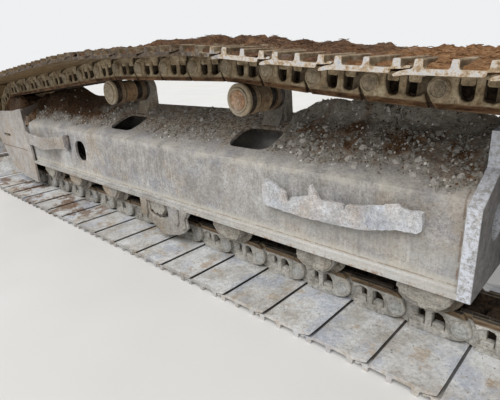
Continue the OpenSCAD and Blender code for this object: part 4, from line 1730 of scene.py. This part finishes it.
@dataclass
class Carriers:
    """The two carrier rollers: a ringed end with a disc standing out of it, treads and rings."""

    finishes: Finishes
    stations: tuple[Point2, Point2] = ((-558.0, 793.0), (457.0, 801.0))
    tread: float = 65.0
    # Share of the shell's own colour along Y; low shares go near black: oil on the outer tread, painted
    # shade on the inner side and in the grooves.
    bands: tuple[Point2, ...] = (
        (-104, 0.0), (-78, 0.0), (-77, 0.5), (-57, 0.5), (-56, 0.0), (-22, 0.0), (-19, 1.0),
        (48, 1.0), (51, 0.1), (56, 0.1), (57, 0.7), (77, 0.6), (79, 0.0), (110, 0.05), (112, 1.0))

    def shell(self, x: float, z: float) -> Mesh:
        """Returns the turned shell up to the cap, with its dark bands (the rubbed outer tread with oil,
        painted shade on the inner side and in the grooves) and its muddy bands stored.

        Args:
            x: Place of the roller's axis.
            z: Height of that axis.

        Returns:
            The shell.
        """
        t = self.tread
        profile = [(0, -104), (40, -104), (40, -99), (t - 5, -97), (t - 1, -93), (t - 1, -78),
                   (t, -77), (t, -60), (t - 2, -57), (54, -56), (54, -22), (t - 4, -19),
                   (t - 1, -14), (t - 4, -10), (59, -4), (59, 40), (t - 3, 43), (t - 1, 45),
                   (t - 1, 48), (56, 51), (55, 56), (t - 2, 57), (t, 59), (t, 62), (t - 3, 65),
                   (t - 3, 68), (t - 1, 70), (t - 1, 75), (t - 3, 77), (t - 4, 79), (t - 2, 82),
                   (t - 2, 108), (t - 4, 110), (t - 4, 112), (0, 112)]
        mesh = turned(profile, x, z, 48)
        store(mesh, "band", lambda co: level_at(self.bands, co.y * 1000))
        return mesh

    def cap(self, x: float, z: float) -> Mesh:
        """Returns the end cap: a flat outer ring and a raised ring inside it.

        Args:
            x: Place of the roller's axis.
            z: Height of that axis.

        Returns:
            The cap.
        """
        r = self.tread + 2
        profile = [(0, 111), (r - 3, 111), (r, 113), (r, 122), (r - 2, 125), (r - 6, 126.5),
                   (57, 127.5), (54, 127), (53, 125.5), (51.5, 126), (51, 131), (49.5, 133.5),
                   (45, 134), (43.5, 132.5), (43, 129.5), (0, 129.5)]
        return turned(profile, x, z, 48)

    def disc(self, x: float, z: float) -> Mesh:
        """Returns the rough disc in the middle of the cap.

        Args:
            x: Place of the roller's axis.
            z: Height of that axis.

        Returns:
            The disc.
        """
        mesh = turned([(0, 128), (41, 128), (41, 130.5), (39.5, 132.5), (37, 133), (34, 132.2),
                       (29, 133.4), (22, 132.6), (15, 133.8), (9, 133.2), (0, 134)], x, z, 44)
        for v in mesh.vertices:
            at = v.co * 1000
            reach = math.hypot(at.x - x, at.z - z)
            v.co.y += MM * 1.4 * grain(at.x, 0, at.z, 9, 3) * ease(39 - reach, 0, 4)
        return mesh

    def build(self) -> None:
        """Builds both rollers."""
        nodes = ("carrier_roller_rear", "carrier_roller_front")
        for (x, z), node, finish in zip(self.stations, nodes,
                                        (self.finishes.rusty_disc, self.finishes.plain_disc)):
            piece(node.replace("_roller", "_shell"), self.shell(x, z), self.finishes.carrier,
                  Slot.ROLLER, (node,), angle=30)
            piece(node.replace("_roller", "_cap"), self.cap(x, z), self.finishes.cap, Slot.ROLLER)
            piece(node.replace("_roller", "_disc"), self.disc(x, z), finish, Slot.ROLLER)


# The frame


@dataclass
class TornStep:
    """What is left of the rear step: a bent strap with ragged edges, standing off the box."""

    finishes: Finishes
    y: float = 198.0
    thickness: float = 12.0
    columns: int = 150
    rows: int = 9
    bottom: tuple[Point2, ...] = (
        (-1364, 448), (-1352, 437), (-1303, 434), (-1236, 420), (-1170, 404), (-1100, 400),
        (-1034, 399), (-960, 396), (-909, 396), (-840, 398), (-753, 403), (-738, 433))
    top: tuple[Point2, ...] = (
        (-1364, 506), (-1351, 508), (-1330, 504), (-1301, 507), (-1288, 517), (-1255, 507),
        (-1221, 498), (-1170, 488), (-1120, 482), (-1111, 478), (-1108, 456), (-1103, 480),
        (-1060, 478), (-1013, 474), (-1004, 474), (-975, 527), (-966, 522), (-960, 481),
        (-915, 470), (-877, 459), (-868, 438), (-862, 440), (-850, 478), (-820, 488),
        (-798, 498), (-768, 510), (-751, 512), (-743, 486), (-738, 470))
    arms: tuple[Point3, ...] = ((-1359, 441, 498), (-753, 400, 484))
    arm_width: float = 14.0
    arm_y: Point2 = (171.0, 204.0)

    def build(self) -> None:
        """Builds the strap and its two stand-offs."""
        x0, x1 = self.top[0][0], self.top[-1][0]

        def at(row: int, column: int) -> Point3:
            """Returns one point of the strap's inner face."""
            x = x0 + (x1 - x0) * column / (self.columns - 1)
            low, high = level_at(self.bottom, x), level_at(self.top, x)
            low += 2.5 * grain(x, 0, 0, 22, 3)
            high += 3.0 * grain(x, 50, 0, 16, 3)
            t = row / (self.rows - 1)
            z = low + (high - low) * t
            curl = 9 * ease(z, 480, 530) * math.sin(x / 60) + 7 * grain(x, 0, z, 120, 2)
            dent = 2.2 * grain(x, 9, z, 26, 2)
            return x, self.y + curl + dent, z

        sheet = sheet_mesh(self.rows, self.columns, at)
        holder = placed("strap", sheet)
        solid = holder.modifiers.new("thickness", "SOLIDIFY")
        solid.thickness = self.thickness * MM
        solid.offset = -1.0
        mesh = tidy_mesh(baked(holder))
        w = self.arm_width
        arms = [slab([[(x, low), (x + w, low), (x + w, high), (x, high)]], *self.arm_y, 2)
                for x, low, high in self.arms]
        piece("torn_strap", combine([mesh, *arms]), self.finishes.step, Slot.FRAME,
              ("step_rear_torn",), angle=40)


@dataclass
class StepDirt:
    """Earth caught between the front step's strap and the box."""

    finishes: Finishes
    x0: float = 1121.0
    spacing: float = 8.0
    columns: int = 64
    rows: int = 10
    half_w: float = 172.0
    top_z: float = 470.0
    foot_z: float = 424.0
    reach: tuple[Point2, ...] = (
        (1120, 4), (1156, 22), (1184, 60), (1222, 84), (1324, 73), (1412, 59), (1502, 56),
        (1640, 26))

    def build(self) -> None:
        """Builds the earth as a sheet whose rim goes down to the strap's foot."""
        def at(row: int, column: int) -> Point3:
            """Returns one point of the earth."""
            x = self.x0 + self.spacing * column
            y = self.half_w - 3 + (level_at(self.reach, x) + 2) * row / (self.rows - 1)
            border = row in (0, self.rows - 1) or column in (0, self.columns - 1)
            lump = 6 * grain(x, y, 4, 40, 4) - 10 * ease(x, 1250, 1500)
            return x, y, self.foot_z if border else self.top_z + lump

        mesh = sheet_mesh(self.rows, self.columns, at)
        store(mesh, "grey", lambda co: 0.35 + 0.5 * grain(co.x * 1000, co.y * 1000, 2, 60, 3))
        piece("step_dirt", mesh, self.finishes.soil, Slot.FRAME, angle=60)


@dataclass
class FrameDressing:
    """Weld beads on the box, and the final drive's bolts and plugs."""

    finishes: Finishes
    box_x0: float = -1478.0
    box_x1: float = 1707.0
    half_w: float = 172.0
    strip_top: float = 270.0
    bend_z: float = 559.0
    drive: Point2 = (-2032.0, 464.0)
    bolts_round: int = 20
    bolt_ring_r: float = 216.0
    plugs: tuple[Point2, ...] = ((60, 90), (-60, 90), (0, -100))

    def bead(self, start: Point3, end: Point3, width: float, seed: int) -> Mesh:
        """Returns a weld bead with an uneven, rippled back.

        Args:
            start: Beginning of the bead's middle line.
            end: End of that line.
            width: Width of the bead.
            seed: Seed of its ripples.

        Returns:
            The bead.
        """
        a, b = Vector(start), Vector(end)
        along = (b - a).normalized()
        other = along.cross(Vector((0, 0, 1))) if abs(along.z) < 0.9 else Vector((0, 1, 0))
        other.normalize()
        third = along.cross(other)
        steps = max(8, int((b - a).length / 14))
        points: list[Point3] = []
        faces: list[tuple[int, ...]] = []
        for k in range(steps + 1):
            at = a.lerp(b, k / steps)
            r = width / 2 * (1 + 0.22 * math.sin(k * 2.1) + 0.25 * grain(k * 14, seed, 0, 40, 2))
            for j in range(8):
                w = 2 * math.pi * j / 8
                points.append(tuple(at + other * r * math.cos(w) + third * r * math.sin(w)))
        for k in range(steps):
            for j in range(8):
                p = k * 8 + j
                q = k * 8 + (j + 1) % 8
                faces.append((p, q, q + 8, p + 8))
        faces += [tuple(range(8)), tuple(steps * 8 + j for j in range(8))]
        return new_mesh(points, faces)

    def welds(self) -> None:
        """Builds the beads along the box's foot on both sides and up its end plate."""
        h, foot = self.half_w, self.strip_top
        beads = [self.bead((self.box_x0, h + 1, foot + 1), (self.box_x1 - 110, h + 1, foot + 1), 15, 1),
                 self.bead((self.box_x0, -h - 1, foot + 1), (self.box_x1 - 110, -h - 1, foot + 1), 15, 2),
                 self.bead((self.box_x0 + 1, h, foot), (self.box_x0 + 1, h, self.bend_z - 8), 13, 3)]
        piece("weld_beads", combine(beads), self.finishes.strip, Slot.FRAME, angle=60)

    def bolts(self) -> None:
        """Builds the ring of bolts that holds the sprocket, and the drain plugs."""
        made = []
        x, z = self.drive
        for k in range(self.bolts_round):
            a = 2 * math.pi * k / self.bolts_round
            made.append(turned([(0, 56), (15, 56), (15, 92), (12, 95), (0, 95)],
                               x + self.bolt_ring_r * math.cos(a),
                               z + self.bolt_ring_r * math.sin(a), 6))
        for dx, dz in self.plugs:
            made.append(turned([(0, 128), (17, 128), (17, 140), (14, 143), (0, 143)], x + dx,
                               z + dz, 6))
        piece("drive_bolts", combine(made), self.finishes.casting, Slot.CASTING)

    def build(self) -> None:
        """Builds all of the dressing."""
        self.welds()
        self.bolts()


@dataclass(frozen=True)
class Strewn:
    """One kind of strewn stones: corners of each, number on a square metre, scale and seed."""

    name: str
    corners: int
    amount: float
    smallest: float
    largest: float
    seed: int


@dataclass
class SlopeSoil:
    """Earth, gravel and clods on the sloped top of the box."""

    finishes: Finishes
    x0: float = -1476.0
    x1: float = 1640.0
    half_w: float = 172.0
    bend_z: float = 559.0
    ridge_z: float = 708.0
    openings: Span = (-554.0, 461.0)
    opening_y: float = 24.0
    opening_half: Point2 = (120.0, 82.0)
    opening_corner: float = 52.0
    columns: int = 420
    rows: int = 48
    low_edge: tuple[Point2, ...] = (
        (-1480, 0.1), (-1388, 0.03), (-1327, 0.18), (-1217, 0.26), (-1050, 0.22), (-901, 0.13),
        (-821, 0.26), (-740, 0.48), (-650, 0.72), (-600, 1.3), (520, 1.3), (600, 0.62), (680, 0.42),
        (800, 0.24), (950, 0.2), (1366, 0.3), (1640, 0.12))
    gravel: Strewn = Strewn("slope_gravel", 8, 19000.0, 0.09, 0.4, 21)
    clods: Strewn = Strewn("slope_clods", 15, 4200.0, 0.22, 0.8, 22)

    def top_z(self, y: float) -> float:
        """Returns the height of the sloped plate."""
        return self.bend_z + (self.ridge_z - self.bend_z) * (self.half_w - y) / (2 * self.half_w)

    def near_opening(self, x: float, y: float) -> float:
        """Returns how far a place is from the nearest opening's rim, less than 0 inside.

        Args:
            x: Place along the box.
            y: Place across it.

        Returns:
            The distance.
        """
        half, corner = self.opening_half, self.opening_corner
        away = math.inf
        for ox in self.openings:
            dx = abs(x - ox) - half[0] + corner
            dy = abs(y - self.opening_y) * 1.09 - half[1] + corner
            outside = math.hypot(max(dx, 0), max(dy, 0)) + min(max(dx, dy), 0) - corner
            away = min(away, outside)
        return away

    def up_share(self, y: float) -> float:
        """Returns how far up the slope a place lies, from 0 at the bend to 1 at the ridge."""
        return (self.half_w - y) / (2 * self.half_w)

    def inside(self, x: float, y: float) -> float:
        """Returns how far up the slope a place lies from the gravel's lower edge, as a share.

        Args:
            x: Place along the box.
            y: Place across it.

        Returns:
            The share of the slope.
        """
        edge = level_at(self.low_edge, x)
        return self.up_share(y) - edge + 0.09 * grain(x, y, 0, 110, 5)

    def depth(self, x: float, y: float) -> float:
        """Returns how deep the earth lies at a place, less than 0 where the plate is bare.

        Args:
            x: Place along the box.
            y: Place across it.

        Returns:
            The depth.
        """
        t = self.up_share(y)
        inside = self.inside(x, y)
        value = 15 * ease(inside, -0.02, 0.2) + 14 * ease(inside, 0.2, 0.7)
        value += 26 * ease(x, 700, 1150) * ease(t, 0.35, 0.95)
        value += (6.5 * grain(x, y, 3, 42, 5) + 3.0 * grain(x, y, 8, 15, 3)) * ease(value, 0, 10)
        value += 2.4 * ease(grain(x, y, 5, 60, 4), 0.1, 0.5) * ease(t, 0.12, 0.3)
        value -= 3.2 - 2.2 * ease(t, 0.1, 0.25)
        gap = self.near_opening(x, y)
        value = min(value, -4 + 40 * ease(gap, 4, 46))
        value += 70 * ease(x, 1120, 1420) * ease(t, 0.22, 0.6)
        value += 42 * ease(-640 - x, 0, 160) * ease(x, -1476, -1300) * ease(t, 0.78, 0.96)
        return min(value, 124)

    def place(self, row: float, column: float) -> Point2:
        """Returns X and Y at a row and a column of the surface.

        Args:
            row: Row, counted from the bend to the ridge.
            column: Column, counted from the rear.

        Returns:
            X and Y.
        """
        x = self.x0 + (self.x1 - self.x0) * column / (self.columns - 1)
        y = self.half_w - 6 - (2 * self.half_w - 8) * row / (self.rows - 1)
        return x, y

    def surface(self) -> Mesh:
        """Returns the earth's surface, left out over the openings and where the plate is bare."""
        def at(row: int, column: int) -> Point3:
            """Returns one point of the surface."""
            x, y = self.place(row, column)
            border = row == self.rows - 1 or column in (0, self.columns - 1)
            return x, y, self.top_z(y) + (-5 if border else max(self.depth(x, y), -5))

        def kept(row: int, column: int) -> bool:
            """Returns whether a face lies clear of the openings and over the plate."""
            x, y = self.place(row + 0.5, column + 0.5)
            return self.near_opening(x, y) > 3 and self.depth(x, y) > -4.5

        mesh = sheet_mesh(self.rows, self.columns, at, kept)
        mesh.flip_normals()
        return mesh

    def grey(self, co: Vector) -> float:
        """Returns how grey and dusty the earth is.

        Args:
            co: Place in metres.

        Returns:
            The share of grey.
        """
        x, y = co.x * 1000, co.y * 1000
        t = self.up_share(y)
        dry = 0.9 * ease(t, 0.6, 0.85) * ease(900 - x, 0, 400)
        dry += 0.75 * ease(0.2 - self.inside(x, y), 0, 0.15)
        return min(1.0, max(0.0, 0.3 + dry - 0.9 * ease(x, 750, 1100) * ease(t, 0.2, 0.5)
                            + 1.3 * grain(x, y, 7, 95, 4)))

    def cover(self, co: Vector) -> float:
        """Returns how thickly stones lie.

        Args:
            co: Place in metres.

        Returns:
            The share of the full thickness.
        """
        x, y = co.x * 1000, co.y * 1000
        t = self.up_share(y)
        clear = ease(self.near_opening(x, y), 4, 22)
        inside = self.inside(x, y)
        field = ease(inside, -0.08, 0.03) * (1 - 0.75 * ease(t, 0.62, 0.82))
        thin = 0.3 * ease(t, 0.05, 0.3) + 0.7 * ease(grain(x, y, 12, 120, 4), -0.1, 0.35)
        lump = ease(55 - math.hypot(x + 85, 1.4 * y), 0, 30)
        packed = 1 - 0.97 * ease(x, 720, 900) * ease(t, 0.3, 0.42)
        return clear * packed * min(1.0, max(field, thin * ease(t, 0.08, 0.25), lump))

    def lumpy(self, co: Vector) -> float:
        """Returns how thickly clods lie: in groups, most of all over the torn step.

        Args:
            co: Place in metres.

        Returns:
            The share of the full thickness.
        """
        x, y = co.x * 1000, co.y * 1000
        group = max(ease(grain(x, y, 31, 80, 2), 0.05, 0.25),
                    ease(230 - math.hypot(x + 790, 2.2 * (y - 50)), 0, 90))
        return self.cover(co) * (0.12 + 0.88 * group)

    def strew(self, kind: Strewn, base: Mesh, finish: Material, scatterer: Scatterer) -> None:
        """Strews one kind of stones over the earth.

        Args:
            kind: Which stones, and how many.
            base: Surface that holds their cover; it is removed.
            finish: Their material.
            scatterer: Tree that strews them.
        """
        stone = bpy.data.objects.new("stone", self.stone(kind.corners))
        result = scatterer.run(base, Piece=stone, Amount=kind.amount, Smallest=kind.smallest,
                               Largest=kind.largest, Turn=(6.283,) * 3, Seed=kind.seed,
                               Finish=finish)
        bpy.data.objects.remove(stone)
        piece(kind.name, result, finish, Slot.FRAME, angle=50)

    def build(self, scatterer: Scatterer) -> None:
        """Builds the earth's surface, gravel and clods.

        Args:
            scatterer: Tree that strews the stones.
        """
        mesh = self.surface()
        store(mesh, "grey", self.grey)
        gravel_base, clod_base = mesh.copy(), mesh.copy()
        store(gravel_base, "cover", self.cover)
        store(clod_base, "cover", self.lumpy)
        piece("slope_soil", mesh, self.finishes.soil, Slot.FRAME, angle=60)
        self.strew(self.gravel, gravel_base, self.finishes.gravel, scatterer)
        self.strew(self.clods, clod_base, self.finishes.clod, scatterer)

    @staticmethod
    def stone(corners: int) -> Mesh:
        """Returns one angular stone about 40 mm long, the hull of a few scattered points.

        Args:
            corners: Number of the scattered points.

        Returns:
            The stone.
        """
        chance = random.Random(corners)
        work = bmesh.new()
        for _ in range(corners):
            way = Vector([chance.gauss(0, 1) for _ in range(3)]).normalized()
            work.verts.new(Vector((way.x * 1.2, way.y, way.z * 0.75)) * chance.uniform(16, 20) * MM)
        bmesh.ops.convex_hull(work, input=work.verts)
        bmesh.ops.delete(work, geom=[v for v in work.verts if not v.link_faces], context="VERTS")
        bmesh.ops.recalc_face_normals(work, faces=work.faces)
        mesh = bpy.data.meshes.new("stone")
        work.to_mesh(mesh)
        work.free()
        return mesh


@dataclass
class FrontHeap:
    """Dark earth packed between the front guards, on the fork ahead of the box."""

    finishes: Finishes
    x0: float = 1636.0
    x1: float = 2010.0
    half_w: float = 184.0
    foot_z: float = 545.0
    columns: int = 74
    rows: int = 60

    def build(self) -> None:
        """Builds the heap as a sheet with a skirt down to the fork."""
        def at(row: int, column: int) -> Point3:
            """Returns one point of the heap's back or of its skirt."""
            u, v = column / (self.columns - 1), row / (self.rows - 1)
            x = self.x0 + (self.x1 - self.x0) * u
            y = self.half_w * (1 - 2 * v)
            t = (self.half_w - y) / (2 * self.half_w)
            box = 610 + 130 * ease(t, 0.05, 0.5)
            front = 640 + 94 * ease(self.half_w - abs(y), 0, 40) - 24 * ease(122 - abs(y), 0, 12)
            front -= 40 * ease(x, 1950, 2010)
            height = box + (front - box) * ease(x, 1668, 1730)
            height += 10 * grain(x, y, 0, 70, 4) + 5 * grain(x, y, 9, 16, 3)
            border = min(row, self.rows - 1 - row, column, self.columns - 1 - column)
            return x, y, self.foot_z if border == 0 else height

        mesh = sheet_mesh(self.rows, self.columns, at)
        mesh.flip_normals()
        store(mesh, "grey", lambda co: max(0.0, 0.2 + 1.1 * grain(co.x * 1000, co.y * 1000, 2, 60, 3)))
        piece("front_heap", mesh, self.finishes.soil, Slot.FRAME, angle=60)


# CAD nodes, stage and camera


@dataclass
class CarriedNodes:
    """Finishes for the CAD nodes that stay as they are."""

    finishes: Finishes
    nodes: dict[str, Thing]

    def build(self) -> None:
        """Gives each node its finish."""
        f = self.finishes
        plan = {f.frame: ("side_plate_outer", "side_plate_inner", "top_plate"),
                f.strip: ("bottom_rails",),
                f.end_plate: ("rear_end_plate",),
                f.guard: ("guard_front_outer", "guard_front_inner", "front_fork", "drive_bracket",
                          "carbody_leg_rear", "carbody_leg_front", "step_front"),
                f.casting: ("final_drive",),
                f.bracket: ("carrier_bracket_rear", "carrier_bracket_front"),
                f.rust: ("sprocket",),
                f.idler: ("idler",),
                f.roller: tuple(f"track_roller_{k}" for k in range(1, 8)),
                f.dark: ("travel_motor", "idler_axle", "idler_yoke", "recoil_spring")}
        for material, names in plan.items():
            for name in names:
                data = self.nodes[name].data
                data.materials.clear()
                data.materials.append(material)
                LOG.info("%s: CAD node in %s", name, material.name)


@dataclass
class Stage:
    """Pale floor, soft studio light and the camera, whose place is in metres."""

    eye: Point3 = (-1.787, 1.3748, 0.971)
    right: Point3 = (-0.7340703, -0.677148, -0.05110166)
    up: Point3 = (0.18787409, -0.27482853, 0.94295949)
    back: Point3 = (-0.65256733, 0.68259788, 0.32896202)
    lens: float = 30.28

    def floor(self) -> None:
        """Lays a plain pale floor."""
        mesh = bpy.data.meshes.new("floor")
        mesh.from_pydata([(-30, -30, 0), (30, -30, 0), (30, 30, 0), (-30, 30, 0)], [], [(0, 1, 2, 3)])
        p = Painter("floor_paper")
        colour = p.ramp(p.noise(1.5, 2), [(0.3, rgb(216, 214, 210)), (0.7, rgb(222, 220, 217))])
        mesh.materials.append(p.finish(colour, 0.9))
        placed("floor", mesh)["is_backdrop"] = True

    def lights(self) -> None:
        """Sets a wide soft key from outboard and above, a weak fill and an even sky."""
        world = bpy.data.worlds.new("studio")
        bpy.context.scene.world = world
        world.use_nodes = True
        tree = world.node_tree
        tree.nodes.clear()
        out = tree.nodes.new("ShaderNodeOutputWorld")
        mix = tree.nodes.new("ShaderNodeMixShader")
        path = tree.nodes.new("ShaderNodeLightPath")
        seen, also = (tree.nodes.new("ShaderNodeMath") for _ in range(2))
        seen.operation = "MAXIMUM"
        also.operation = "MAXIMUM"
        lit, back = (tree.nodes.new("ShaderNodeBackground") for _ in range(2))
        lit.inputs[0].default_value = (0.94, 0.97, 1.0, 1)
        lit.inputs[1].default_value = 0.5
        back.inputs[0].default_value = (0.86, 0.87, 0.88, 1)
        back.inputs[1].default_value = 1.0
        for source, target in ((path.outputs["Is Camera Ray"], seen.inputs[0]),
                               (path.outputs["Is Glossy Ray"], also.inputs[0]),
                               (path.outputs["Is Transmission Ray"], also.inputs[1]),
                               (also.outputs[0], seen.inputs[1]), (seen.outputs[0], mix.inputs[0]),
                               (lit.outputs[0], mix.inputs[1]), (back.outputs[0], mix.inputs[2]),
                               (mix.outputs[0], out.inputs[0])):
            tree.links.new(source, target)
        for name, strength, spread, aim in (("key", 2.45, 46, (0.15, -0.62, -0.77)),
                                            ("fill", 0.42, 90, (-0.6, 0.5, -0.6))):
            lamp = bpy.data.lights.new(name, "SUN")
            lamp.energy = strength
            lamp.angle = math.radians(spread)
            placed(name, lamp).rotation_euler = Vector(aim).to_track_quat("-Z", "Y").to_euler()

    def camera(self) -> None:
        """Sets the camera where the photograph was taken from."""
        data = bpy.data.cameras.new("camera")
        data.lens = self.lens
        data.sensor_width = 36.0
        data.clip_start = 0.02
        camera = placed("camera", data)
        turn = Matrix((self.right, self.up, self.back)).transposed().to_4x4()
        camera.matrix_world = Matrix.Translation(Vector(self.eye)) @ turn
        bpy.context.scene.camera = camera

    def build(self) -> None:
        """Builds floor, lights and camera and sets the plain view transform."""
        self.floor()
        self.lights()
        self.camera()
        bpy.context.scene.view_settings.view_transform = "Standard"


def corners(bounds: tuple[Vector, Vector]) -> list[list[float]]:
    """Returns two corners as plain lists."""
    return [list(corner) for corner in bounds]


def main() -> None:
    """Builds the track unit's looks in order."""
    logging.basicConfig(level=logging.INFO, format="%(name)s %(message)s")
    packed = corners(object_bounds())
    Stage().build()
    finishes = Finishes()
    line = PinLine()
    scatterer = Scatterer()
    Track(line, finishes, Repeater()).build(scatterer)
    Collars(finishes).build()
    CentreGuards(finishes).build()
    Carriers(finishes).build()
    TornStep(finishes).build()
    FrameDressing(finishes).build()
    SlopeSoil(finishes).build(scatterer)
    FrontHeap(finishes).build()
    StepDirt(finishes).build()
    CarriedNodes(finishes, frame["nodes"]).build()
    {"cad": packed, "visual": corners(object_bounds())}


if __name__ == "__main__":
    main()
